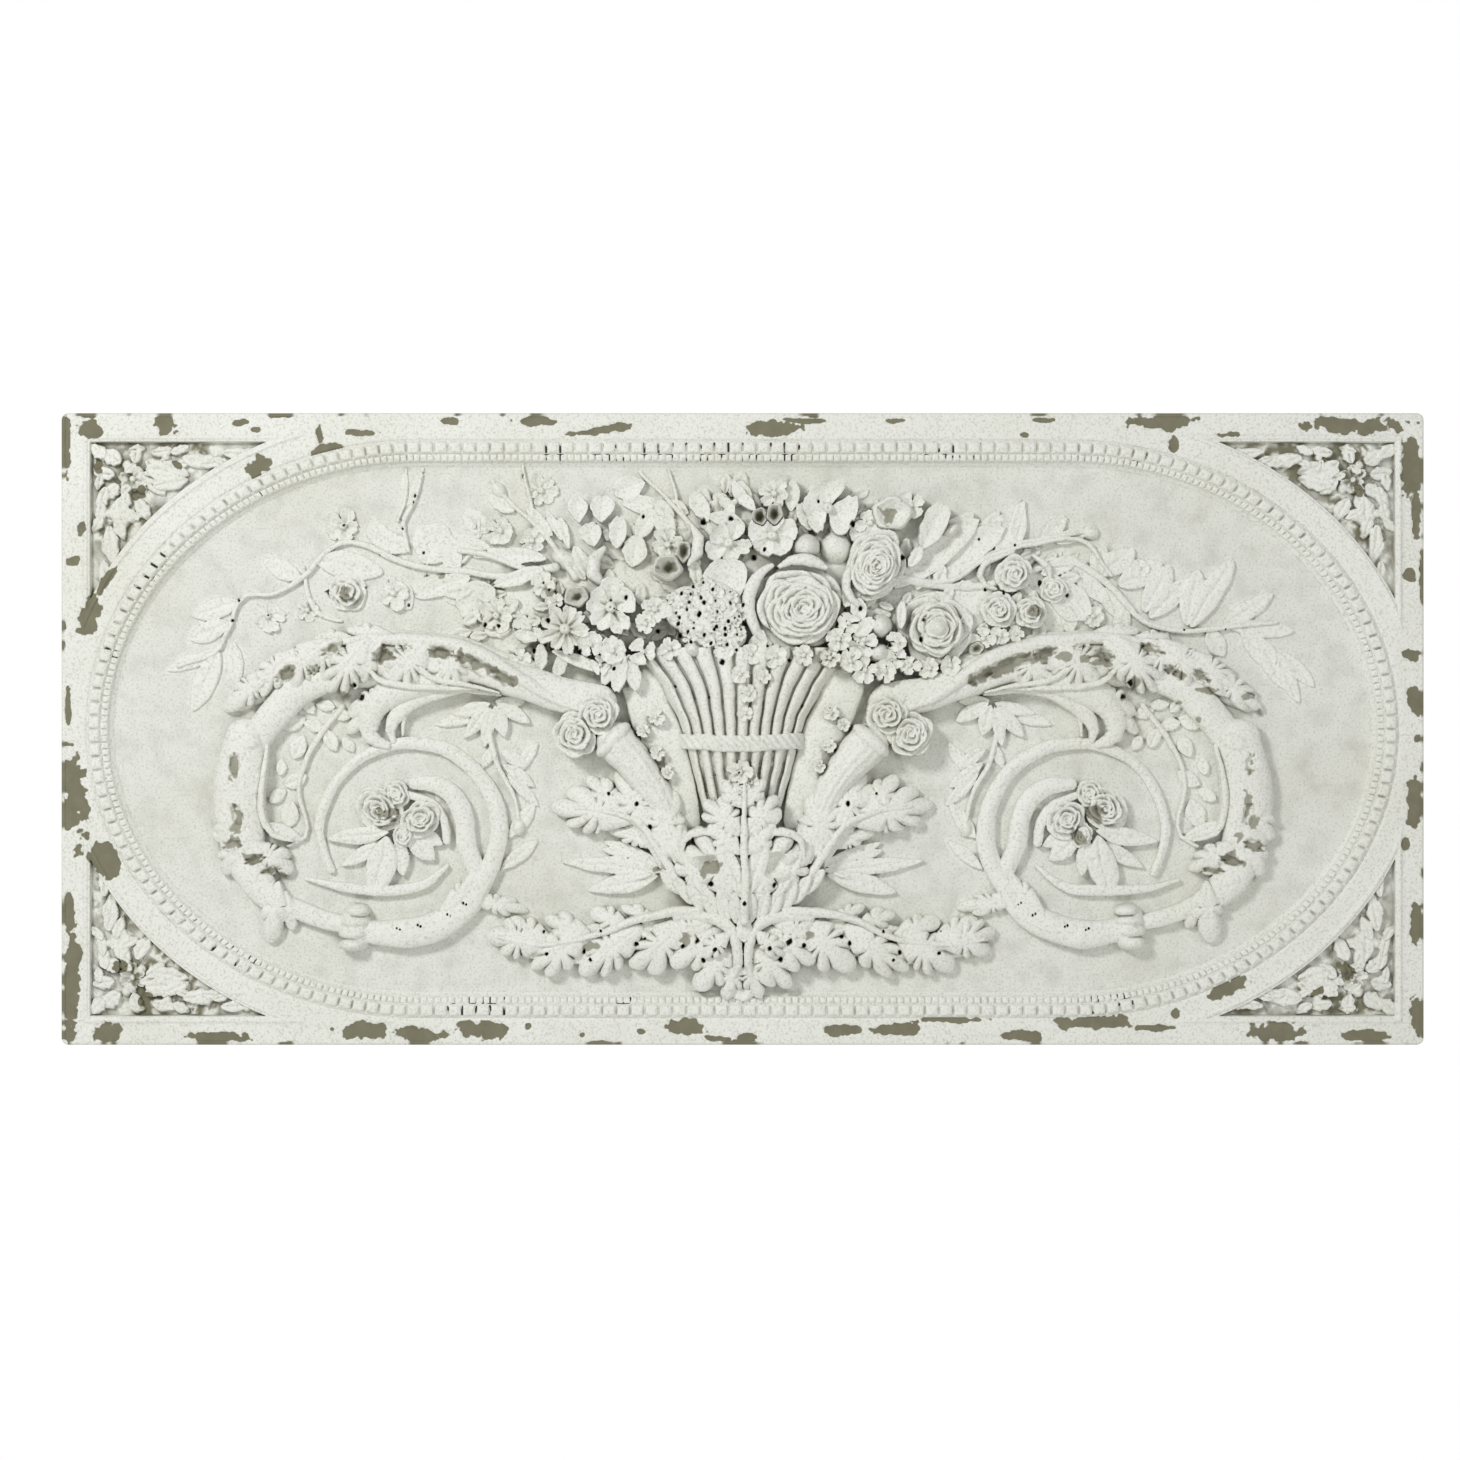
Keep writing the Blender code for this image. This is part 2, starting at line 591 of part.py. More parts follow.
SPRIG_LEAVES = [
    ((-436, 156), (-480, 172), 24), ((-434, 150), (-420, 116), 20), ((-372, 156), (-418, 166), 26),
    ((-344, 150), (-352, 112), 34), ((-366, 172), (-342, 208), 28), ((-500, 128), (-470, 106), 26),
    ((-506, 124), (-544, 110), 20), ((-512, 100), (-546, 88), 18), ((-512, 82), (-494, 42), 20),
    ((-528, 76), (-548, 22), 24), ((-524, 78), (-578, 58), 15), ((346, 152), (412, 170), 26),
    ((392, 118), (440, 158), 28), ((440, 150), (484, 160), 26), ((352, 150), (378, 112), 22),
    ((478, 100), (536, 128), 20), ((486, 98), (542, 96), 17), ((504, 94), (534, 40), 18),
    ((522, 82), (552, 32), 16), ((524, 84), (566, 46), 15), ((458, 98), (476, 70), 18),
]


def carve_bouquet(carver):
    for x, y, radius, share, squash, lean in ROSES:
        carver.flower("rose", x, y, radius, ROSE_HEIGHT * share, ROSE_TIERS, 6, squash, lean)
    for x, y, radius, share in SMALL_ROSES:
        carver.flower("small_rose", x, y, radius, ROSE_HEIGHT * share, SMALL_ROSE_TIERS, 4)
    for x, y, radius, petals, share in BLOSSOMS:
        carver.flower("blossom", x, y, radius, BLOSSOM_HEIGHT * share, BLOSSOM_TIERS, petals)
    for x, y, length, width, turn, share in BUDS:
        carver.bud("bud", x, y, length, width, BLOSSOM_HEIGHT * share, turn)
    for root, tip, width, share in BOUQUET_LEAVES:
        height = BLOSSOM_HEIGHT * share
        carver.keel("bouquet_leaf", [root, tip], width, (height, 0.6 * height))
    for root, tip, width in SPRIG_LEAVES:
        carver.keel("sprig_leaf", [root, tip], width, (SPRIG_HEIGHT, 0.6 * SPRIG_HEIGHT))
    left = [(-260, 150), (-330, 164), (-392, 176), (-440, 148), (-502, 128), (-516, 96), (-526, 76)]
    right = [(214, 140), (300, 96), (360, 118), (400, 108), (470, 98), (510, 92), (528, 78)]
    up = [(-190, 150), (-222, 200), (-244, 250)]
    top = [(-40, 196), (-66, 222), (-92, 262)]
    for points in (left, right, up, top):
        carver.twig("sprig_stem", points, (7, 5, 4), 0.9 * SPRIG_HEIGHT)


# Corner ornaments


def carve_spandrel(carver, sx, sy):
    """A rosette in the corner with leaves that run out into both points, drawn from the slab's own corner."""
    corner = Vector((PANEL_WIDTH / 2, PANEL_HEIGHT / 2)) / UNIT

    def place(dx, dy):
        return sx * (corner.x - dx), sy * (corner.y - dy)

    top = SPANDREL_CARVING_HEIGHT
    carver.flower("corner_rosette", *place(70, 66), 24, 1.2 * top, BLOSSOM_TIERS, 5)
    for root, tip, width in (
        ((84, 52), (148, 42), 24), ((52, 84), (42, 142), 24), ((148, 46), (200, 38), 14),
        ((44, 140), (38, 182), 12), ((88, 82), (108, 96), 20), ((56, 50), (36, 36), 18),
    ):
        carver.keel("corner_leaf", [place(*root), place(*tip)], width, (top, 0.6 * top))


# Assembly


def main():
    clear_scene()
    panel_parts = new_collection("carved_panel")
    carving = new_collection("carving", hidden=True)
    cutters = new_collection("cutters", hidden=True)
    slab = make_slab(cutters, panel_parts)
    moulding(carving)
    carver = Carver(carving, FIELD_LEVEL)
    carve_basket(carver)
    for side in SIDES:
        carve_scroll(carver, side)
        carve_sprays(carver, side)
    carve_bouquet(carver)
    corner_carver = Carver(carving, PANEL_THICKNESS - SPANDREL_DEPTH)
    for sx in SIDES:
        for sy in SIDES:
            carve_spandrel(corner_carver, sx, sy)
    boolean(slab, "UNION", carving)
    thin = slab.modifiers.new("Flat faces", "DECIMATE")
    thin.decimate_type = "DISSOLVE"
    thin.angle_limit = math.radians(FLAT_ANGLE)
    for obj in [*carving.objects, *cutters.objects]:
        obj.hide_render = True
        obj.display_type = "WIRE"
    solid = evaluated_mesh(slab)
    solid.transform(Matrix.Rotation(math.radians(90), 4, "X") @ slab.matrix_world)
    solid.materials.append(new_material("worn_cream_paint", (0.74, 0.73, 0.66), 0.6))
    mesh_object("relief_panel", solid, panel_parts)
    bpy.data.objects.remove(slab)


main()
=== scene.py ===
import math

import bpy
import numpy as np
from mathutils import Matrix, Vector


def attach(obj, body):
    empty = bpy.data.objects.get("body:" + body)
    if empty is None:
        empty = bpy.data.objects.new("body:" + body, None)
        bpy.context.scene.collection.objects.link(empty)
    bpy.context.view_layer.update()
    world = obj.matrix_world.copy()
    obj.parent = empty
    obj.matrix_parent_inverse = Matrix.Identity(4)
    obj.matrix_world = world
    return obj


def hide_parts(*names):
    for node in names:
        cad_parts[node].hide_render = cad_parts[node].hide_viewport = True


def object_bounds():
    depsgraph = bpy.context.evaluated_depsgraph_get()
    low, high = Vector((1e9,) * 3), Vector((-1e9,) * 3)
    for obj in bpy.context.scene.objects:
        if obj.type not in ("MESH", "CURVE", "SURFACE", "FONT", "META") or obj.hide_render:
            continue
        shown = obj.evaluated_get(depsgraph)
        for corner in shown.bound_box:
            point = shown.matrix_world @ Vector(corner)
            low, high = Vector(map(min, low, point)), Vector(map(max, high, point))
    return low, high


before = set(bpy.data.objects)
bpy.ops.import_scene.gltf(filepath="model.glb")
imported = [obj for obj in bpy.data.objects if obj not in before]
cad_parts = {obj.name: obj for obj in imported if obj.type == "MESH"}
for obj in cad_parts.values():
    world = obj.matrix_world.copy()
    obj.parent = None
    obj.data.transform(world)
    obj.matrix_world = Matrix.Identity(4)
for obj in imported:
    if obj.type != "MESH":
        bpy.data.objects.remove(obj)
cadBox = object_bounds()
print("frame loaded")

# Lengths are in millimetres until a mesh is made. Across the face x runs right and y up from the panel's
# middle, and a height is counted from the sunk oval field towards the viewer.

panel = {
    "width": 1000 * (cadBox[1][0] - cadBox[0][0]),
    "height": 1000 * (cadBox[1][2] - cadBox[0][2]),
    "field": 24.0,  # sunk field above the wall
    "face": 10.0,  # slab's face above the field
    "cornerRadius": 7.0,
    "edgeRound": 2.2,
    "rim": 3.0,  # band of the face that belongs to the slab's own rounded edge
    "step": 0.7,  # spacing of the sheet that the relief is worked out on
    "reach": -1000 * cadBox[0][1] - 24.2,  # highest carving above the field
    "sunk": -2.0,  # how deep a carving's skirt goes into the field
}

oval = {
    "straight": 321.0,  # half length of the straights
    "reach": 330.0,  # how far an end goes beyond them
    "rise": 287.0,  # half height at the moulding's outer edge
    "beadWidth": 11.0,
    "beadMiddle": 8.2,
    "beadHeight": 2.6,
    "beads": 232,
    "seedWidth": 6.4,
    "seedMiddle": 18.4,
    "seedHeight": 1.7,
    "seeds": 464,
    "inner": 27.0,  # width of the whole moulding
    "profile": [  # distance in from the edge, drop below the slab's face
        (-6, 0), (-0.8, 0), (0.6, 1.2), (2.2, 0), (13.8, 0.2), (14.6, 1.6), (15.2, 2.2), (21.8, 3.4),
        (22.4, 5.6),
    ],
}

halfWidth, halfHeight = panel["width"] / 2, panel["height"] / 2
columns = int((panel["width"] - 2 * panel["rim"]) / panel["step"]) + 1
rows = int((panel["height"] - 2 * panel["rim"]) / panel["step"]) + 1
xs = np.linspace(-halfWidth + panel["rim"], halfWidth - panel["rim"], columns).astype(np.float32)
ys = np.linspace(-halfHeight + panel["rim"], halfHeight - panel["rim"], rows).astype(np.float32)
gapX, gapY = float(xs[1] - xs[0]), float(ys[1] - ys[0])


# Sheet tools: every carving is a height over this sheet, worked out a window at a time


# An empty layer, which lies just under the field all over.
def newLayer():
    return np.full((rows, columns), panel["sunk"], np.float32)


# Leaves the higher of what is there and what comes, or what comes where it lies over.
def stamp(layer, spot, height, inside, over=False):
    there = layer[spot]
    layer[spot] = np.where(inside & (over | (height > there)), height, there)


# 0 below low, 1 above high, and 3t^2 - 2t^3 between.
def smooth(low, high, value):
    t = np.clip((value - low) / (high - low), 0, 1)
    return t * t * (3 - 2 * t)


# Cubic B-spline weight of each lattice line, size apart, at each value.
def splineWeights(values, size, count):
    place = (values - values[0]) / size + 1
    away = np.abs(place[:, None] - np.arange(count)[None, :])
    inner = 2 / 3 - away**2 + away**3 / 2
    outer = np.clip(2 - away, 0, None) ** 3 / 6
    return np.where(away < 1, inner, outer).astype(np.float32)


# Random lattice read through cubic splines, each octave half as wide and half as strong, within about -1..1.
def cloud(size, seed, octaves=3):
    chance = np.random.default_rng(seed)
    total = np.zeros((rows, columns), np.float32)
    for octave in range(octaves):
        cell = size / 2**octave
        down, right = int(panel["height"] / cell) + 5, int(panel["width"] / cell) + 5
        lattice = chance.uniform(-1.6, 1.6, (down, right)).astype(np.float32)
        total += splineWeights(ys, cell, down) @ lattice @ splineWeights(xs, cell, right).T / 2**octave
    return total


wander = {"wide": 26.0, "amount": 1.5, "seed": 21}  # how far the carver's hand strays from the drawing
strayX = wander["amount"] * cloud(wander["wide"], wander["seed"])
strayY = wander["amount"] * cloud(wander["wide"], wander["seed"] + 1)


# The part of the sheet inside a box, with its own x and y, each strayed by the clouds.
def near(x0, y0, x1, y1):
    i0, i1 = np.clip([int((x0 - 2 - xs[0]) / gapX), int((x1 + 2 - xs[0]) / gapX) + 2], 0, columns)
    j0, j1 = np.clip([int((y0 - 2 - ys[0]) / gapY), int((y1 + 2 - ys[0]) / gapY) + 2], 0, rows)
    spot = np.s_[j0:j1, i0:i1]
    return spot, xs[None, i0:i1] + strayX[spot], ys[j0:j1, None] + strayY[spot]


# The part of the sheet within reach of a place, both ways.
def window(x, y, reach):
    return near(x - reach, y - reach, x + reach, y + reach)


# Places counted from x, y along and across a heading: dx cos + dy sin, and dy cos - dx sin.
def turned(atX, atY, x, y, turn):
    a = math.radians(turn)
    dx, dy = atX - x, atY - y
    return dx * math.cos(a) + dy * math.sin(a), dy * math.cos(a) - dx * math.sin(a)


# Heading in degrees and length of the line from root to tip.
def aimed(root, tip):
    return math.degrees(math.atan2(tip[1] - root[1], tip[0] - root[0])), math.dist(root, tip)


# Highest (or lowest) value within a square window, along rows and then along columns.
def spread(sheet, radius, pick):
    found = sheet
    for axis, gap in ((0, gapY), (1, gapX)):
        reach = max(1, round(radius / gap))
        padded = np.pad(found, [(reach, reach) if a == axis else (0, 0) for a in (0, 1)], mode="edge")
        found = padded.take(range(found.shape[axis]), axis)
        for shift in range(1, 2 * reach + 1):
            found = pick(found, padded.take(range(shift, shift + found.shape[axis]), axis))
    return found


# The sheet with every gap narrower than twice the radius filled level.
def filled(sheet, radius):
    return spread(spread(sheet, radius, np.maximum), radius, np.minimum)


# Strokes


# Catmull-Rom curve through the points, read at evenly spread places.
def along(points, count):
    knots = np.array(points, float)
    ends = np.vstack([2 * knots[0] - knots[1], knots, 2 * knots[-1] - knots[-2]])
    t = np.linspace(0, 1, 16, endpoint=False)[:, None, None]
    p0, p1, p2, p3 = ends[:-3], ends[1:-2], ends[2:-1], ends[3:]
    curve = 0.5 * (2 * p1 + (p2 - p0) * t + (2 * p0 - 5 * p1 + 4 * p2 - p3) * t**2
                   + (3 * p1 - p0 - 3 * p2 + p3) * t**3)
    dense = np.vstack([curve.transpose(1, 0, 2).reshape(-1, 2), knots[-1]])
    lengths = np.concatenate([[0], np.cumsum(np.hypot(*np.diff(dense, axis=0).T))])
    wanted = np.linspace(0, lengths[-1], count)
    return np.column_stack([np.interp(wanted, lengths, dense[:, 0]), np.interp(wanted, lengths, dense[:, 1])])


# For every place: the share of the path's length at its nearest point, and the signed distance from it.
def beside(path, x, y):
    best = np.full(np.broadcast(x, y).shape, 1e9, np.float32)
    share, side = np.zeros_like(best), np.ones_like(best)
    last = len(path) - 1
    for k in range(last):
        (ax, ay), (dx, dy) = path[k], path[k + 1] - path[k]
        u = np.clip(((x - ax) * dx + (y - ay) * dy) / (dx * dx + dy * dy), 0, 1)
        ox, oy = x - ax - u * dx, y - ay - u * dy
        away = np.hypot(ox, oy)
        nearer = away < best
        best = np.where(nearer, away, best)
        share = np.where(nearer, (k + u) / last, share)
        side = np.where(nearer, np.sign(dx * oy - dy * ox + 1e-9), side)
    return share, best * side


# Points drawn on the left, kept for side -1 and turned over for side 1.
def mirrored(points, side):
    return [(-side * x, y) for x, y in points]


# Values spread evenly over a share from 0 to 1.
def across(values, share):
    return np.interp(share, np.linspace(0, 1, len(values)), values)


# A petal or leaf from root to tip. Its half width is sin(pi * share^taper)^full, its middle goes from low to
# high and dips by tip at the end, its edges round off by edge, and cup hollows it across.
def blade(layer, x, y, turn, length, width, low, high, taper=1.0, full=0.75, edge=2.0, cup=0.0, vein=0.0,
          ribs=0, tip=0.0, split=0.0, ruffle=0.0):
    a = math.radians(turn)
    endX, endY = x + length * math.cos(a), y + length * math.sin(a)
    pad = width / 2 + 1
    spot, atX, atY = near(min(x, endX) - pad, min(y, endY) - pad, max(x, endX) + pad, max(y, endY) + pad)
    share, t = turned(atX, atY, x, y, turn)
    share, t = share / length, t / (width / 2)
    s = np.clip(share, 0, 1)
    outline = np.sin(np.pi * s**taper).clip(0) ** full + 1e-3
    q = np.abs(t) / outline * (1 + ruffle * np.sin(13 * share + 7 * t * s + turn))
    inside = (share > 0) & (share < 1 - split * np.clip(1 - np.abs(t) / 0.4, 0, 1)) & (q < 1)
    q = np.minimum(q, 1)
    height = low + (high - low) * s - tip * s**4 - cup * (1 - q * q) * np.sin(np.pi * s) ** 0.5
    height -= edge * (1 - np.sqrt(1 - q**4))
    if vein:
        height -= vein * np.exp(-((t * width / (0.10 * width + 1.2)) ** 2)) * (1 - s**3)
    if ribs:
        height -= 0.45 * (0.5 + 0.5 * np.cos(2 * np.pi * (ribs * s - 1.5 * q))) * q
    stamp(layer, spot, height, inside)


# A leaf lobe: an ellipse narrowed at the heel, whose edge is scaled by 1 - notch * (1 - |cos(k * angle)|), so
# that rounded scallops meet in notches. A groove runs in from each notch. Heights go from low to high over a
# rounded body, and tip turns the end down.
def hand(layer, x, y, turn, length, width, low, high, scallops, notch=0.3, groove=1.8, edge=2.2, body=2.0,
         tip=0.0):
    a = math.radians(turn)
    reach = max(length, width) / 2 + 2
    cx, cy = x + 0.5 * length * math.cos(a), y + 0.5 * length * math.sin(a)
    spot, atX, atY = window(cx, cy, reach)
    u, v = turned(atX, atY, x, y, turn)
    u, v = u / length, v / (width / 2)
    angle = np.arctan2(v * width, (2 * u - 0.9) * length)
    uneven = angle + 0.16 * np.sin(2.3 * angle + 0.07 * (x + y))
    wave = np.where(np.abs(uneven) < 2.1, np.abs(np.cos(0.74 * scallops * uneven)) ** 0.8, 1)
    q = np.hypot(2 * u - 1, v / (0.5 + 0.5 * smooth(-0.05, 0.6, u))) / (1 - notch * (1 - wave))
    inside = q < 1
    q, s = np.minimum(q, 1), np.clip(u, 0, 1)
    height = low + (high - low) * s + body * (1 - q * q) - edge * (1 - np.sqrt(1 - q**4)) - tip * s**4
    height -= groove * (1 - wave) * smooth(0.3, 0.95, q) + 0.9 * np.exp(-((v * width / 3.2) ** 2)) * (1 - s)
    stamp(layer, spot, height, inside)


# Scalloped lobes from a table of root, tip, width, heights at both and the number of scallops.
def hands(layer, table, side):
    for *line, width, low, high, scallops in table:
        root, tip = mirrored(line, side)
        hand(layer, *root, *aimed(root, tip), width, low, high, scallops, groove=0.07 * width + 0.4,
             edge=0.05 * width + 1, body=0.08 * width, tip=0.09 * width)


# Plain leaves from a table of root, tip, width and heights at both.
def blades(layer, table, side=-1):
    for *line, width, low, high in table:
        root, tip = mirrored(line, side)
        blade(layer, *root, *aimed(root, tip), width, low, high, 1.0, 0.7, 0.07 * width + 0.6,
              vein=0.05 * width + 0.3, ribs=4)


# A rounded stem along a path. It falls to its sides by rise * radius * (1 - sqrt(1 - q^2)), a circle's cap,
# and grooves are cut along it by a cosine of the place across.
def vine(layer, points, width, height, rise=1.0, grooves=0, depth=1.0):
    length = sum(math.dist(a, b) for a, b in zip(points, points[1:]))
    path = along(points, max(4, int(length / 9)))
    pad = max(width) / 2 + 1
    spot, atX, atY = near(*(path.min(0) - pad), *(path.max(0) + pad))
    share, away = beside(path, atX, atY)
    radius = across(width, share) / 2
    q = np.abs(away) / radius
    inside = q < 1
    q = np.minimum(q, 1)
    shape = across(height, share) - rise * radius * (1 - np.sqrt(1 - q * q))
    if grooves:
        shape -= depth * (0.5 + 0.5 * np.cos(2 * np.pi * (grooves * away / radius / 2 + 0.5))) * (1 - q**4)
    stamp(layer, spot, shape, inside)


# A domed bud: an ellipse whose height is (1 - r^2)^power, dimpled in the middle if asked.
def boss(layer, x, y, length, width, turn, low, top, power=0.5, dimple=0.0):
    spot, atX, atY = window(x, y, max(length, width) + 1)
    u, v = turned(atX, atY, x, y, turn)
    u, v = u / length, v / width
    r2 = u * u + v * v
    height = low + (top - low) * (1 - np.minimum(r2, 1)) ** power - dimple * np.exp(-r2 / 0.09)
    stamp(layer, spot, height, r2 < 1)


holes = []  # drilled eyes: x, y, radius, depth, and how dark they are painted with dirt and painted shade
hollowSpots = []  # worn hollows of the scrolls: x, y, length, width, turn


# Notes a round eye. It is sunk later by depth * (1 - smooth(0.4, 1, distance / radius)), and that share times
# its last number paints it dark inside: dirt and painted shade in the hole.
def drill(x, y, radius, depth=7.0, dirtAndShade=1.0):
    holes.append((x, y, radius, depth, dirtAndShade))


roseRings = (  # from the outside in: share of the radius, how far it lies below the top, petals
    (1.00, 0.46, 5), (0.85, 0.22, 5), (0.70, 0.10, 5), (0.56, 0.04, 4), (0.43, 0.00, 4), (0.31, 0.00, 3),
    (0.19, 0.02, 2),
)


# A full rose: rings of round petals laid over one another towards the heart. Each petal has a thin rolled lip
# and falls away behind it, as the depth from its edge goes from 0 to its size.
def rose(layer, x, y, radius, top, squash=1.0, lean=0.0, turn=0.0, rings=6):
    chance = np.random.default_rng(int(abs(7 * x) + abs(3 * y)))
    spot, atX, atY = window(x, y, radius + 2)
    u, v = turned(atX, atY, x, y, lean)
    v = v / squash
    made = np.full(np.broadcast(atX, atY).shape, -50, np.float32)
    for ring, (share, drop, count) in enumerate(roseRings if rings > 4 else roseRings[::2]):
        for petal in range(count):
            angle = 2 * math.pi * (petal + 0.41 * ring + 0.2 * chance.uniform(-1, 1)) / count
            angle += math.radians(turn)
            size = radius * share * chance.uniform(0.64, 0.74)
            cx, cy = (radius * share - size) * math.cos(angle), (radius * share - size) * math.sin(angle)
            around = np.arctan2(v - cy, u - cx)
            away = np.hypot(u - cx, v - cy) * (1 + 0.04 * np.sin(4 * around + 6 * chance.random()))
            inner = np.maximum(size - away, 0)
            lip = max(0.05 * radius * share**0.4, 0.9)
            fall = (0.34 if ring else 0.22) * radius * share**0.8
            height = top - (drop + chance.uniform(-0.02, 0.03)) * radius
            height = height - fall * smooth(0, 0.8, (inner - lip) / size) ** 0.8
            height = height - lip * (1 - np.sqrt(1 - (1 - np.minimum(inner / lip, 1)) ** 2))
            made = np.where(away < size, height, made)
    r = np.hypot(u, v)
    heart = top - 0.05 * radius - 0.06 * radius * (0.5 + 0.5 * np.cos(np.arctan2(v, u) - 22 * r / radius))
    made = np.where(r < 0.13 * radius, heart, made)
    stamp(layer, spot, made, made > -49)


# An open flower: cupped petals of slightly uneven size, lift and place round a dimpled boss.
def blossom(layer, x, y, radius, top, petals=5, dish=0.22, turn=0.0, middle=0.2):
    chance = np.random.default_rng(int(abs(11 * x) + abs(5 * y)))
    width = 2 * math.pi * 0.66 * radius / petals
    for petal in range(petals):
        angle = turn + 360 * (petal + chance.uniform(-0.09, 0.09)) / petals
        a, start = math.radians(angle), 0.06 * radius
        blade(layer, x + start * math.cos(a), y + start * math.sin(a), angle,
              radius * chance.uniform(0.8, 1.04), width * chance.uniform(0.86, 1.22), top - dish * radius,
              top + 0.14 * radius * chance.uniform(-1, 0.6), 1.6, 0.48, 0.12 * radius, 0.22 * radius,
              0.06 * radius, tip=0.2 * radius * chance.random(),
              split=0.14 * chance.random(), ruffle=0.07)
    size = middle * radius
    boss(layer, x, y, size, size, 0, top - dish * radius, top - dish * radius + 1.1 * size, 0.5, 0.5 * size)


# A hollow flower cup: a round rim at 0.8 of its radius, falling steeply outside and as a bowl inside.
def cup(layer, x, y, length, width, turn, low, top):
    spot, atX, atY = window(x, y, max(length, width) + 1)
    u, v = turned(atX, atY, x, y, turn)
    u, v = u / length, v / width
    r = np.hypot(u, v) * (1 + 0.05 * np.sin(5 * np.arctan2(v, u) + x))
    wall = np.where(r > 0.8, (r - 0.8) / 0.2, 1 - r / 0.8)
    height = top - (top - low) * np.where(r > 0.8, 0.45 * wall**2, np.clip(1.15 * wall, 0, 1) ** 0.8)
    stamp(layer, spot, height, r < 1, True)
    hollowSpots.append((x, y, 0.62 * length, 0.62 * width, turn))


# A head of small florets set out by the golden angle on a dome, with a drilled eye beside each.
def cluster(layer, x, y, radius, top, florets, size, drop, turn=0.0):
    boss(layer, x, y, radius, radius, 0, top - drop - 8, top - 3)
    for k in range(florets):
        r = radius * math.sqrt((k + 0.4) / florets) * 0.92
        a = math.radians(137.5 * k + turn)
        height = top - drop * (r / radius) ** 2
        blossom(layer, x + r * math.cos(a), y + r * math.sin(a), size, height, 5, 0.34, 61 * k, 0.24)
        b = a + 0.5 * size / max(r, size)
        drill(x + (r + 0.4 * size) * math.cos(b), y + (r + 0.4 * size) * math.sin(b), 2.5, 7, 1.0)


# Ground: the slab's face, the oval moulding, the spandrels and the sunk field


# Distance in from the moulding's outer edge, and the place along it in turns, for the whole sheet.
def ovalPlace(x, y):
    px = np.maximum(np.abs(x) - oval["straight"], 0)
    f = np.sqrt((px / oval["reach"]) ** 2 + (y / oval["rise"]) ** 2)
    slope = np.hypot(px / oval["reach"] ** 2, y / oval["rise"] ** 2) / np.maximum(f, 1e-6)
    end = (1 - f) / np.maximum(slope, 1e-4)
    inset = np.where(np.abs(x) > oval["straight"], end, oval["rise"] - np.abs(y))
    angles = np.linspace(0, np.pi / 2, 200)
    arc = np.concatenate([[0], np.cumsum(np.hypot(np.diff(oval["reach"] * np.cos(angles)),
                                                 np.diff(oval["rise"] * np.sin(angles))))])
    phi = np.arctan2(np.abs(y) / oval["rise"], px / oval["reach"])
    quarter = oval["straight"] + arc[-1]
    run = np.where(np.abs(x) > oval["straight"], np.interp(phi, angles, arc),
                   arc[-1] + oval["straight"] - np.abs(x))
    turns = run / (4 * quarter)
    turns = np.where(x < 0, 0.5 - turns, turns)
    return inset.astype(np.float32), np.where(y < 0, 1 - turns, turns).astype(np.float32), 4 * quarter


# Rounded oblongs in a row: (1 - a^4)(1 - b^4) of the shares across and along each bead.
def courseOfBeads(inset, turns, total, count, middle, width, height):
    pitch = total / count
    a = np.abs((turns * count) % 1 - 0.5) * pitch / (0.44 * pitch)
    b = np.abs(inset - middle) / (width / 2)
    return height * np.sqrt(np.clip(1 - a**4, 0, 1) * np.clip(1 - b**4, 0, 1))


spandrel = {
    "side": 28.5,  # from the slab's edge to the sunk corner
    "band": 27.0,  # from the oval to it
    "depth": 8.0,
    "filletWidth": 4.5,
    "filletHeight": 1.4,
}


# Distance inside the nearest of the corner's three sides.
def spandrelPlace(x, y, inset):
    side = spandrel["side"]
    toEdges = np.minimum(halfWidth - side - np.abs(x), halfHeight - side - np.abs(y))
    return np.minimum(toEdges, -inset - spandrel["band"])


# The moulding is a profile of heights over the distance in from its edge, plus two courses of beads. A
# spandrel is sunk by a smooth step, and the fillet round it is height * sqrt(1 - t^2) across its width.
def groundHeights():
    x, y = xs[None, :], ys[:, None]
    inset, turns, total = ovalPlace(x, y)
    face, inner = panel["face"], oval["inner"]
    stops = [place for place, drop in oval["profile"]] + [inner - 2.5, inner, inner + 6]
    levels = [face - drop for place, drop in oval["profile"]] + [face - 7.2, 0.2, 0]
    ground = np.interp(inset, stops, levels).astype(np.float32)
    for count, kind in ((oval["beads"], "bead"), (oval["seeds"], "seed")):
        ground += courseOfBeads(inset, turns, total, count, oval[kind + "Middle"], oval[kind + "Width"],
                                oval[kind + "Height"])
    inside = spandrelPlace(x, y, inset)
    ground -= spandrel["depth"] * smooth(-0.6, 1.2, inside)
    fillet = np.clip(1 - ((inside + spandrel["filletWidth"]) / (spandrel["filletWidth"] / 2)) ** 2, 0, 1)
    ground += spandrel["filletHeight"] * np.sqrt(fillet)
    return ground, inset, inside


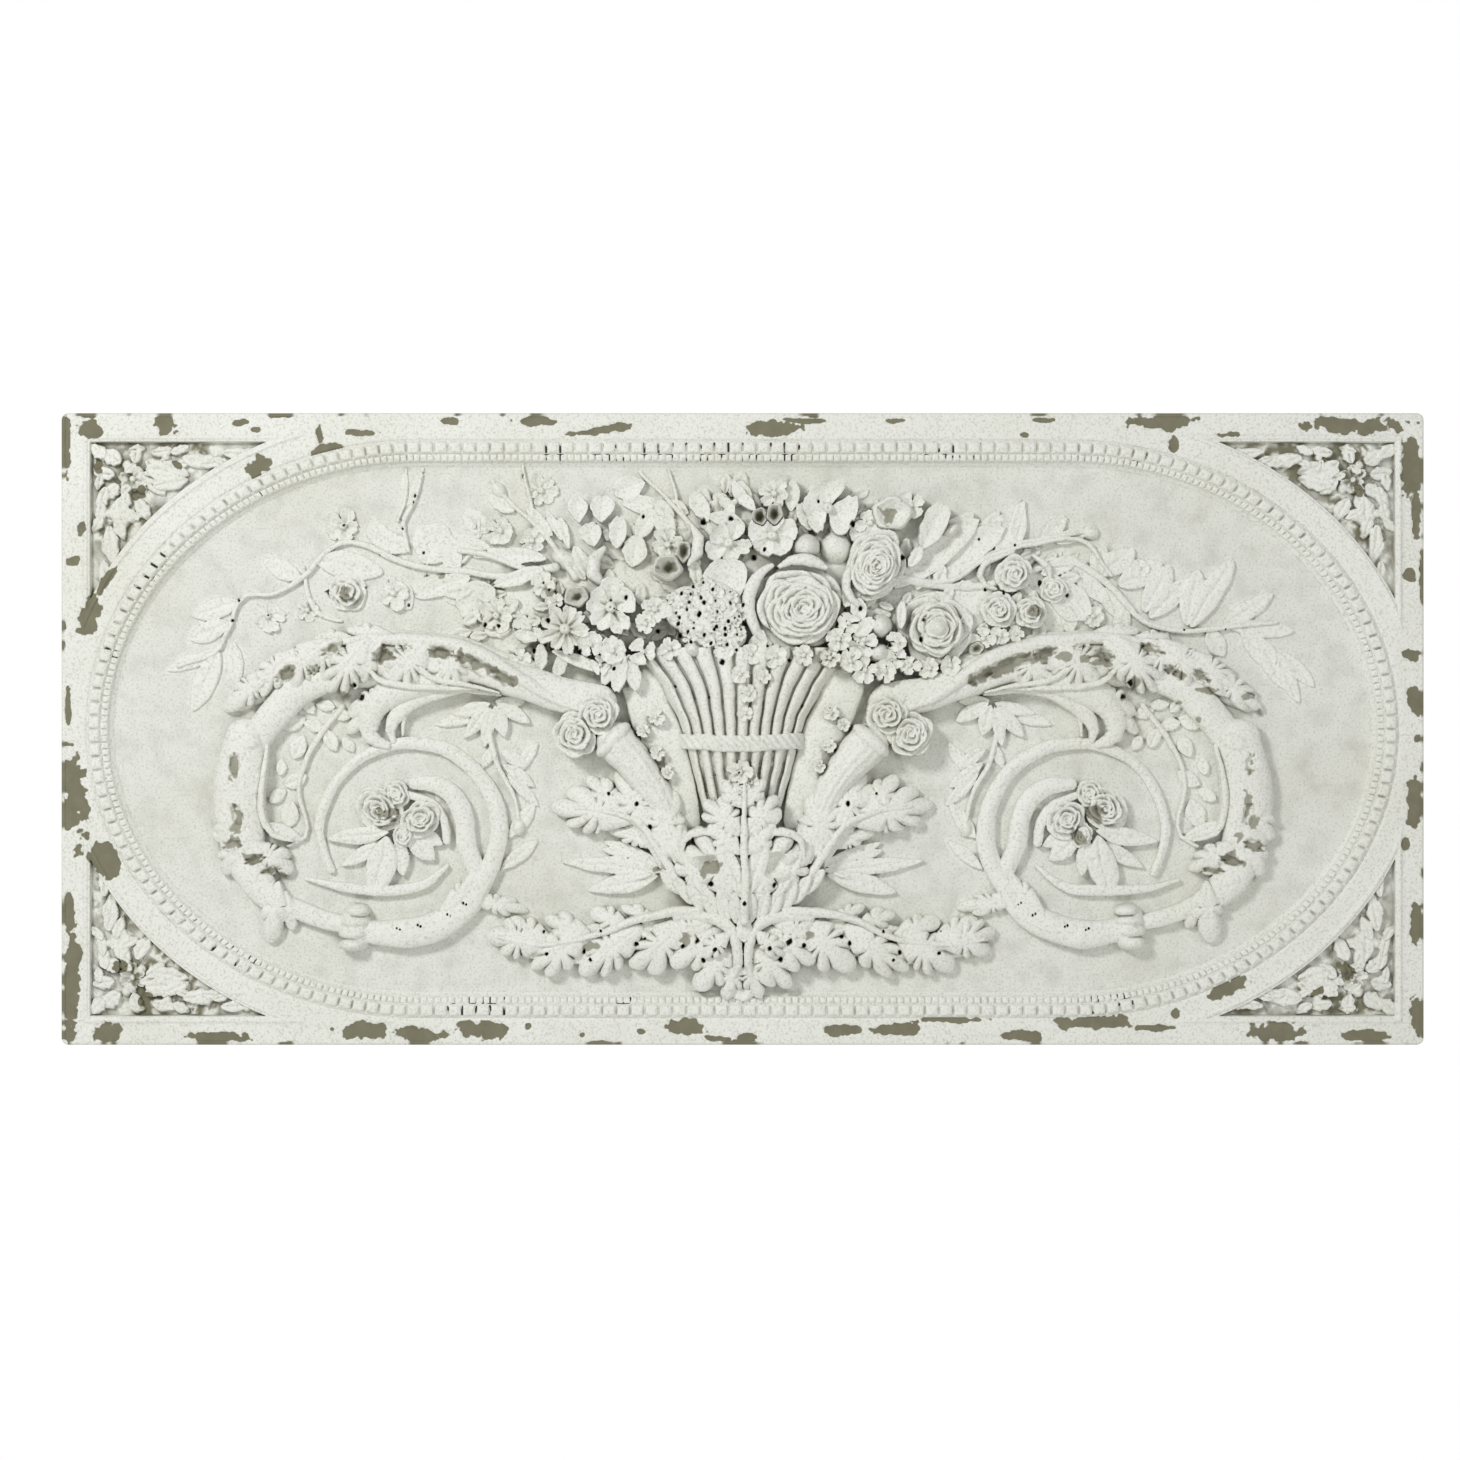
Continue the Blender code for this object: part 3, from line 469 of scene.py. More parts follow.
corner = {
    "floret": (70, 66, 15),  # from the slab's corner: across, down, radius
    "leaves": [  # across, down, turn, length, width
        (84, 56, 4, 40, 20), (92, 72, -12, 34, 16), (120, 44, 8, 40, 16), (158, 38, 4, 40, 12),
        (58, 84, 92, 34, 20), (46, 112, 84, 38, 15), (42, 146, 86, 36, 12), (58, 50, 214, 24, 16),
        (74, 84, 62, 26, 15), (102, 50, 24, 26, 14), (52, 104, 68, 24, 12), (138, 50, -4, 24, 11),
        (84, 48, 30, 26, 14), (56, 72, 140, 20, 14), (44, 74, 108, 26, 12), (72, 50, 280, 20, 14),
        (52, 62, 190, 22, 14), (66, 80, 120, 24, 14), (86, 66, 40, 22, 13), (110, 40, 330, 18, 10),
        (40, 104, 130, 18, 10), (96, 60, 60, 18, 11), (60, 96, 30, 18, 11), (130, 40, 30, 20, 9),
        (40, 128, 60, 20, 9), (42, 44, 225, 20, 14), (90, 40, 350, 24, 11), (40, 88, 100, 24, 11),
        (62, 60, 320, 16, 9), (78, 60, 20, 18, 9), (60, 76, 70, 18, 9), (50, 92, 40, 16, 8),
        (100, 46, 60, 16, 8), (112, 52, 340, 18, 8), (48, 112, 110, 18, 8), (150, 44, 20, 18, 8),
        (42, 160, 70, 18, 8), (70, 74, 160, 16, 9), (38, 60, 100, 18, 9), (66, 38, 350, 18, 9),
    ],
    "beads": [
        (42, 42, 6), (94, 40, 5), (38, 92, 5), (112, 62, 5), (66, 104, 5), (184, 36, 4), (38, 182, 4),
        (80, 74, 6), (64, 52, 6), (104, 44, 5), (46, 100, 5),
    ],
}


# One floret, then leaves whose heading is turned over by the corner's signs, then beads.
def carveCorner(layer, sx, sy):
    low = panel["face"] - spandrel["depth"]
    x, y, radius = corner["floret"]
    blossom(layer, sx * (halfWidth - x), sy * (halfHeight - y), radius, low + 8, 6, 0.3, 20 * sx + 10 * sy)
    for x, y, turn, length, width in corner["leaves"]:
        aim = math.degrees(math.atan2(-sy * math.sin(math.radians(turn)), -sx * math.cos(math.radians(turn))))
        blade(layer, sx * (halfWidth - x), sy * (halfHeight - y), aim, length, width, low + 8, low + 4, 0.9,
              0.6, 2.4, vein=1.4, ribs=3, ruffle=0.1)
    for x, y, radius in corner["beads"]:
        boss(layer, sx * (halfWidth - x), sy * (halfHeight - y), radius, radius, 0, low, low + 6)


# Basket, horns and the leaves at its foot

basket = {
    "stations": (-112, -60, -14, 12, 42, 74),  # heights up the face
    "halfWidths": (30, 45, 58, 66, 82, 108),
    "fronts": (27, 34, 39, 41, 42, 41),
    "upperCanes": 11,
    "lowerCanes": 9,
    "slot": 6.0,
    "girdle": (-21, -5),
}


# The body is front * sqrt(1 - q^2)^0.7 over the share q of its half width, less a slot, and each cane adds
# sqrt(1 - lane^2)^0.6 of it again. The girdle is the same dome with a slanting cosine for its twist.
def weaveBasket(layer):
    spot, x, y = near(-118, -118, 118, 78)
    half = np.interp(y, basket["stations"], basket["halfWidths"])
    front = np.interp(y, basket["stations"], basket["fronts"])
    q = x / half
    dome = front * np.sqrt(np.clip(1 - q * q, 0, 1)) ** 0.7
    count = np.where(y > basket["girdle"][0], basket["upperCanes"], basket["lowerCanes"])
    lane = np.abs((q * 0.5 + 0.5) * count % 1 - 0.5) / np.where(y > basket["girdle"][0], 0.42, 0.36)
    cane = np.sqrt(np.clip(1 - lane**2, 0, 1))
    height = dome - basket["slot"] + (basket["slot"] + 2.5) * cane**0.6 * np.clip(dome / 12, 0.2, 1)
    stamp(layer, spot, height, np.abs(q) < 1)
    low, high = basket["girdle"]
    middle = (low + high) / 2
    band = np.abs(y - middle) / ((high - low) / 2)
    reach = np.interp(middle, basket["stations"], basket["halfWidths"]) + 5
    swell = np.sqrt(np.clip(1 - band**4, 0, 1))
    twist = 0.5 + 0.5 * np.cos(2 * np.pi * (x / 7.5 + 0.10 * (y - middle)))
    rope = np.interp(middle, basket["stations"], basket["fronts"]) + 3
    rope = rope * np.sqrt(np.clip(1 - (x / reach) ** 2, 0, 1)) ** 0.7
    stamp(layer, spot, rope + 2.5 * swell - 1.6 * twist, (band < 1) & (np.abs(x) < reach))


foot = {
    "tongues": 6,
    "blades": [
        ((-76, -138), (-138, -112), 14, 13, 5), ((-78, -142), (-180, -131), 17, 12, 5),
        ((-84, -146), (-153, -162), 20, 12, 6), ((-90, -144), (-128, -147), 10, 14, 6),
        ((-108, -128), (-140, -120), 10, 9, 5),
    ],
    "webs": [
        ([(-54, -188), (-96, -202), (-150, -214), (-196, -216), (-232, -211)], (22, 36, 40, 32, 20),
         (20, 18, 15, 13, 9)),
        ([(-66, -138), (-84, -100), (-112, -76), (-160, -72)], (30, 38, 34, 20), (24, 23, 18, 13)),
        ([(-100, 44), (-84, 0), (-64, -50), (-52, -90)], (40, 44, 36, 24), (17, 18, 17, 14)),
    ],
    "hands": [  # root, tip, width, from, to, scallops
        ((-190, -211), (-254, -205), 42, 19, 12, 6), ((-152, -202), (-210, -238), 44, 21, 15, 6),
        ((-100, -194), (-164, -240), 48, 23, 17, 6), ((-56, -188), (-110, -240), 50, 25, 20, 6),
        ((-150, -204), (-196, -188), 28, 20, 14, 4), ((-186, -212), (-234, -190), 28, 18, 13, 4),
        ((-112, -196), (-152, -181), 24, 20, 15, 4), ((-84, -190), (-122, -176), 18, 19, 15, 4),
        ((-104, -92), (-190, -71), 46, 24, 13, 6), ((-90, -104), (-122, -40), 44, 28, 18, 5),
        ((-68, -132), (-86, -50), 46, 29, 25, 6), ((-80, -118), (-134, -97), 22, 20, 13, 5),
        ((-66, -134), (-60, -90), 24, 31, 28, 5), ((-120, -84), (-152, -46), 28, 22, 15, 5),
        ((-124, -82), (-160, -100), 24, 20, 13, 5),
    ],
    "ribs": [
        ([(-46, -180), (-78, -182), (-112, -190), (-150, -206), (-200, -213), (-240, -208)], (11, 8, 6, 5, 3),
         (31, 29, 27, 24, 21, 17)),
        ([(-66, -146), (-82, -122), (-98, -96), (-126, -84), (-166, -77)], (10, 8, 6, 5, 3),
         (31, 31, 29, 25, 20)),
        ([(-98, -96), (-112, -62)], (5, 3), (30, 24)),
        ([(-76, -130), (-82, -80)], (6, 3), (31, 29)),
    ],
    "volute": [
        ((-14, -196), (-72, -232), 46, 24, 28, 5), ((-8, -208), (-46, -258), 38, 24, 23, 5),
        ((-3, -222), (-17, -268), 26, 23, 17, 6), ((-30, -190), (-78, -206), 30, 28, 26, 5),
        ((-14, -200), (-40, -224), 24, 35, 34, 5),
    ],
    "horn": ([(-56, -118), (-72, -88), (-92, -52), (-124, -14)], (22, 27, 34, 42), (26, 30, 34, 37)),
    "hornMouth": (-127, -11),
    "curled": [((-8, -170), (-44, -96), 54, 38, 43, 5), ((-30, -164), (-66, -112), 34, 34, 36, 4)],
    "curledSides": [((-2, -166), (-24, -106), 20, 42, 46), ((-34, -166), (-58, -120), 14, 36, 39)],
    "curledLip": ([(-60, -132), (-57, -110), (-42, -100), (-24, -103), (-12, -116)], (3, 6, 8, 6, 3),
                  (36, 41, 44, 44, 42)),
    "bowl": (-33, -134),  # where the curled leaf is hollow
    "voluteRib": ([(-66, -186), (-46, -184), (-22, -189), (-8, -206), (-5, -232), (-12, -252)],
                  (9, 12, 12, 11, 9, 5), (28, 31, 34, 34, 29, 20)),
    "eyes": [
        (-31, -154, 3.6), (-46, -210, 4.4), (-60, -214, 3.0), (-27, -216, 2.8), (-106, -212, 3.0),
        (-98, -206, 2.4), (-156, -220, 3.0), (-150, -228, 2.2), (-194, -222, 2.4), (-104, -74, 2.8),
        (-132, -64, 2.2), (-90, -98, 2.8), (-116, -186, 2.2), (-38, -228, 3.2), (-140, -200, 1.8),
        (-196, -200, 1.8),
    ],
}


# One side of the leaves under the basket, with its horn. The tongues fan out from the middle, each 7 degrees
# further, and the curled leaf is cut down to a bowl of 32 + 12 r^2.
def carveFoot(layer, side):
    blades(layer, foot["blades"], side)
    points, width, heights = foot["horn"]
    vine(layer, mirrored(points, side), width, heights, 0.8, 5, 0.9)
    boss(layer, *mirrored([foot["hornMouth"]], side)[0], 23, 9, -45 * side, 22, 39, 0.3)
    for points, width, heights in foot["webs"]:
        vine(layer, mirrored(points, side), width, heights, 0.3)
    hands(layer, foot["hands"], side)
    for points, width, heights in foot["ribs"]:
        vine(layer, mirrored(points, side), width, heights, 0.7, 1, 0.5)
    for k in range(foot["tongues"]):
        x0, y0 = side * (5 + 10.8 * k), -193 + 2.2 * k + 0.75 * k * k
        lean = 90 - side * (8 + 7 * k)
        blade(layer, x0, y0, lean, 32, 15, 32 - 1.4 * k, 42 - 2.4 * k, 0.85, 0.45, 3.4, vein=0.8)
    # a curled leaf of the front, hollowed where its tip turns over
    hands(layer, foot["curled"], side)
    x, y = mirrored([foot["bowl"]], side)[0]
    spot, atX, atY = near(x - 20, y - 16, x + 20, y + 16)
    bowl = np.hypot((atX - x) / 17, (atY - y) / 14)
    rubble = 3.5 * cloud(6.0, 31, 1)[spot]
    layer[spot] = np.where(bowl < 1, np.minimum(layer[spot], 32 + 12 * bowl**2 + rubble), layer[spot])
    blades(layer, foot["curledSides"], side)
    points, width, heights = foot["curledLip"]
    vine(layer, mirrored(points, side), width, heights, 0.5)
    hands(layer, foot["volute"], side)
    points, width, heights = foot["voluteRib"]
    vine(layer, mirrored(points, side), width, heights, 0.8, 1, 0.8)
    for x, y, radius in foot["eyes"]:
        drill(-side * x, y, radius, 10, 0.95)


front = {
    "lobes": [((-1, -104), (-36, -68), 36, 46, 44, 5), ((-1, -124), (-32, -92), 26, 46, 45, 4),
              ((0, -78), (-22, -50), 22, 47, 46, 3)],
    "rib": ([(1, -190), (2, -150), (1, -100), (1, -58)], (9, 8, 7, 4), (43, 49, 51, 50)),
    "flowers": [(-3, -42, 13, 51), (8, -53, 10, 49), (-12, -56, 9, 48), (2, -60, 7, 50)],  # x, y, radius, top
    "tips": [((0, -244), (0, -271), 34, 15, 12), ((0, -184), (1, -210), 16, 36, 33)],
    "eyes": [(-4, -42, 1.6, 5), (7, -52, 1.4, 5), (2, -172, 3.0, 8)],  # x, y, radius, depth
}


# The middle leaf, its rib, and the small flowers and eyes on it.
def carveFront(layer):
    for side in (-1, 1):
        hands(layer, front["lobes"], side)
    vine(layer, *front["rib"], 0.7)
    for x, y, radius, top in front["flowers"]:
        blossom(layer, x, y, radius, top, 5, 0.3)
    blades(layer, front["tips"])
    for eye in front["eyes"]:
        drill(*eye)


# Scrolls with their leaves

scroll = {
    "arch": [(-142, 27), (-176, 33), (-215, 45), (-260, 62), (-305, 68), (-350, 66)],
    "web": [(-220, 52), (-290, 66), (-350, 68), (-410, 66), (-456, 52), (-500, 30)],
    "limb": [(-346, 66), (-395, 60), (-436, 42), (-464, 14), (-486, -14)],
    "side": [(-492, -10), (-499, -50), (-499, -92), (-493, -128), (-474, -160), (-452, -176)],
    "stem": [(-456, -172), (-428, -184), (-398, -193)],
    "sheath": [(-368, -201), (-336, -203), (-304, -196), (-276, -178), (-256, -146)],
    "ring": [
        (-266, -168), (-247, -130), (-241, -100), (-247, -70), (-265, -42), (-290, -24), (-321, -14),
        (-355, -18), (-385, -32), (-405, -55), (-417, -80), (-420, -102), (-416, -122), (-408, -140),
    ],
    "band": [(-262, -142), (-272, -114), (-275, -90), (-286, -68), (-305, -56), (-326, -54)],
    "coil": [(-292, -112), (-296, -90), (-308, -74), (-330, -66), (-352, -58)],
    "fillet": [(-432, -150), (-400, -157), (-350, -160), (-316, -154), (-292, -136)],
    "lip": [
        (-158, 18), (-196, 34), (-223, 52), (-249, 70), (-276, 80), (-302, 86), (-340, 89), (-381, 89),
        (-424, 80),
    ],
    "hem": [(-372, 76), (-366, 56), (-348, 44), (-300, 40), (-262, 40)],
    "innerHem": [(-322, 78), (-318, 60), (-302, 48), (-268, 43), (-240, 36)],
    "canes": [  # which path above, widths, heights, grooves
        ("fillet", (4, 10, 12, 11, 4), (7, 10, 10, 9, 7), 0),
        ("band", (18, 20, 20, 18, 13), (12, 13, 13, 11, 8), 1), ("coil", (9, 9, 8, 6), (11, 11, 10, 8), 0),
        ("ring", (20, 18, 17, 15, 12, 11, 10, 8), (14, 12, 11, 10, 9, 8, 8, 7), 1),
        ("web", (40, 54, 60, 52, 40, 24), (20, 20, 20, 18, 14, 9), 0),
        ("arch", (36, 35, 34, 36, 38, 36), (30, 29, 28, 27, 26, 24), 0),
        ("limb", (34, 33, 34, 33, 30), (21, 20, 19, 19, 19), 0),
        ("side", (42, 50, 50, 44, 34, 24), (22, 22, 21, 20, 18, 15), 0),
        ("stem", (20, 18, 17), (14, 14, 13), 0), ("sheath", (24, 30, 30, 26, 18), (17, 19, 18, 16, 14), 0),
    ],
    "folds": [  # which path, widths, heights, laid over the canes
        ("lip", (6, 13, 15, 14, 10, 5), (29, 32, 32, 30, 27, 20)),
        ("hem", (2, 6, 7, 6, 2), (26, 28, 28, 26, 23)), ("innerHem", (2, 6, 6, 4, 2), (27, 29, 29, 28, 26)),
        ("ridge", (4, 6, 7, 7, 4), (16, 22, 21, 17, 12)),
    ],
    "curls": [  # smooth folds of the leaf under the arch: path, width, height
        ([(-262, 52), (-312, 46), (-350, 34), (-368, 14), (-368, -8), (-352, -16)], (6, 22, 30, 30, 22, 8),
         (22, 25, 24, 21, 17, 12)),
        ([(-268, 40), (-308, 34), (-336, 20), (-348, 2), (-346, -12)], (4, 12, 18, 16, 6),
         (17, 19, 18, 15, 11)),
        ([(-240, 34), (-290, 40), (-320, 32), (-334, 14), (-336, -6)], (3, 6, 7, 6, 3), (16, 18, 17, 14, 9)),
    ],
    "ridge": [(-470, -16), (-476, -50), (-476, -84), (-466, -104), (-448, -110)],
    "hands": [  # root, tip, width, from, to, scallops
        ((-308, 88), (-356, 40), 48, 29, 25, 7), ((-262, 80), (-312, 42), 40, 30, 26, 7),
        ((-356, 88), (-388, 46), 30, 29, 23, 6), ((-366, 90), (-412, 38), 44, 30, 24, 8),
        ((-396, 90), (-436, 54), 30, 28, 22, 6), ((-410, 88), (-466, 42), 38, 28, 21, 8),
        ((-438, 78), (-492, 33), 32, 26, 18, 7), ((-462, 62), (-514, 18), 28, 21, 11, 6),
        ((-346, 94), (-392, 98), 20, 24, 20, 4), ((-386, 92), (-424, 90), 18, 22, 17, 4),
        ((-346, 40), (-392, 16), 26, 17, 12, 4), ((-356, 28), (-394, -4), 22, 15, 10, 4),
        ((-496, -70), (-524, -112), 30, 21, 15, 4), ((-496, -104), (-514, -146), 30, 21, 14, 4),
        ((-488, -112), (-444, -142), 30, 21, 13, 5), ((-484, -128), (-484, -170), 30, 19, 13, 4),
        ((-458, -150), (-466, -214), 30, 20, 11, 3), ((-452, -160), (-444, -200), 18, 17, 9, 3),
        ((-300, -184), (-256, -140), 22, 17, 12, 4), ((-276, -166), (-212, -181), 22, 12, 6, 6),
    ],
    "blades": [  # root, tip, width, from, to
        ((-474, -92), (-438, -110), 14, 13, 7), ((-350, -102), (-412, -111), 18, 14, 8),
        ((-352, -110), (-398, -136), 15, 11, 6), ((-352, -106), (-366, -166), 30, 16, 9),
        ((-342, -108), (-338, -146), 17, 14, 8), ((-334, -104), (-304, -130), 22, 13, 8),
        ((-330, -100), (-296, -116), 16, 12, 8), ((-240, -140), (-204, -110), 15, 5, 3),
        ((-232, -108), (-206, -72), 16, 5, 3), ((-226, -44), (-204, -14), 14, 4, 3),
    ],
    "husk": [
        ((-250, 26), (-288, 14), 14, 10, 6), ((-252, 24), (-277, -10), 15, 11, 6),
        ((-250, 22), (-256, -18), 14, 11, 6), ((-246, 24), (-236, -8), 16, 12, 7),
        ((-244, 26), (-212, 6), 15, 11, 6), ((-246, 28), (-216, 26), 12, 9, 5),
        ((-262, 14), (-306, 4), 14, 6, 3), ((-240, -20), (-214, -38), 13, 7, 4),
        ((-238, -34), (-206, -58), 13, 7, 4), ((-234, -44), (-202, -76), 12, 6, 3),
        ((-246, -14), (-258, -40), 11, 6, 3),
    ],
    "berries": [
        (-445, 6, 11), (-440, -18, 11), (-409, -10, 10), (-399, 16, 9), (-443, -50, 11), (-450, -84, 13),
        (-392, -14, 8), (-425, 4, 9), (-462, -66, 9), (-458, -38, 8), (-430, 22, 8), (-414, 24, 8),
    ],
    "shadeAndDirtMask": [  # x, y, length, width, turn, depth: where leaves turn over the arch
        (-262, 62, 26, 8, -26, 7), (-236, 51, 15, 7, -34, 7), (-297, 75, 15, 6, -16, 6),
        (-355, 72, 11, 8, 20, 6), (-404, 79, 14, 6, 24, 6), (-454, 52, 11, 6, 36, 5), (-424, 58, 8, 5, 30, 6),
        (-332, 80, 8, 4, 0, 4), (-503, -34, 6, 13, 4, 4), (-500, -84, 6, 15, 8, 5),
        (-506, -116, 12, 7, 10, 5), (-482, -130, 12, 5, 20, 6), (-466, -140, 12, 4, 10, 4),
    ],
    "twigs": [  # thin stems of the small leaves inside the scroll: path, width, height
        ([(-398, 24), (-426, -16), (-440, -56), (-432, -102), (-452, -116)], (6, 5, 4), (7, 7, 6)),
        ([(-250, -8), (-243, -36), (-228, -64), (-222, -92)], (6, 5, 4), (8, 7, 6)),
    ],
    "twigBud": (-222, -97),
    "knob": (-383, -196),
    "knobRings": (13, 15, 15, 12),
    "gaps": [(-384, 44, 6, 12, 0.8), (-378, 32, 5, 10, 0.7)],  # between the folds: x, y, radius, depth, and how dark they are painted (dirt and painted shade)
    "shoulder": (-488, -13),
    "middle": (-340, -88),  # where the roses gather
    "roses": [(-20, 8, 25, 23), (20, -2, 22, 24), (-4, 24, 15, 19), (4, -18, 13, 20)],
    "slits": [(-342, -197), (-321, -194), (-291, -184), (-276, -172)],  # pairs of drilled holes in the sheath
}


# One scroll: small leaves first, then its canes, knob, curled folds and lobes, then the worn hollows, each
# sunk by depth * (1 - smooth(0.55, 1, r)), and last the roses in its middle.
def carveScroll(layer, side):
    heading = 1 if side < 0 else -1
    blades(layer, scroll["blades"] + scroll["husk"], side)
    for k, (x, y, radius) in enumerate(scroll["berries"]):
        turn = 200 + 47 * k
        root, tip = [(x - share * radius * math.cos(math.radians(turn)),
                      y - share * radius * math.sin(math.radians(turn))) for share in (-1.1, 1.2)]
        blades(layer, [(root, tip, 1.5 * radius, 5.5, 3.5)], side)
    for points, width, height in scroll["twigs"]:
        vine(layer, mirrored(points, side), width, height)
    boss(layer, *mirrored([scroll["twigBud"]], side)[0], 6, 9, 0, 2, 9)
    for name, width, height, grooves in scroll["canes"]:
        vine(layer, mirrored(scroll[name], side), width, height, 0.5, grooves, 0.9)
    # the knob where the lower stem leaves its sheath
    x, y = mirrored([scroll["knob"]], side)[0]
    boss(layer, x, y, 16, 24, 8 * heading, 4, 20, 0.4)
    for k, width in enumerate(scroll["knobRings"]):
        boss(layer, x - heading * (4 - 2 * k), y - 17 + 11 * k, width, 7, 0, 10, 23, 0.5)
    for points, width, height in scroll["curls"]:
        vine(layer, mirrored(points, side), width, height, 0.55)
    for x, y, *size in scroll["gaps"]:
        drill(-side * x, y, *size)
    boss(layer, *mirrored([scroll["shoulder"]], side)[0], 17, 13, 30 * heading, 8, 25, 0.5, 2)
    hands(layer, scroll["hands"], side)
    for name, width, height in scroll["folds"]:
        vine(layer, mirrored(scroll[name], side), width, height, 0.8)
    for x, y, length, width, turn, depth in scroll["shadeAndDirtMask"]:
        x *= -side
        turn = turn if side < 0 else 180 - turn
        spot, atX, atY = window(x, y, length + 2)
        u, v = turned(atX, atY, x, y, turn)
        u, v = u / length, v / width
        bowl = np.hypot(u, v) * (1 + 0.14 * np.sin(7 * np.arctan2(v, u)))
        layer[spot] -= np.where(layer[spot] > 1, depth * (1 - smooth(0.55, 1.0, bowl)), 0)
        hollowSpots.append((x, y, length, width, turn))
    for x, y in scroll["slits"]:
        drill(-side * x, y, 1.7, 6)
        drill(-side * (x + 3), y - 1.5, 1.4, 6)
    x, y = mirrored([scroll["middle"]], side)[0]
    for dx, dy, radius, top in scroll["roses"]:
        rose(layer, x + heading * dx, y + dy, radius, top, 0.85, 20 * dx, 40 * dx, 4)


# Bouquet

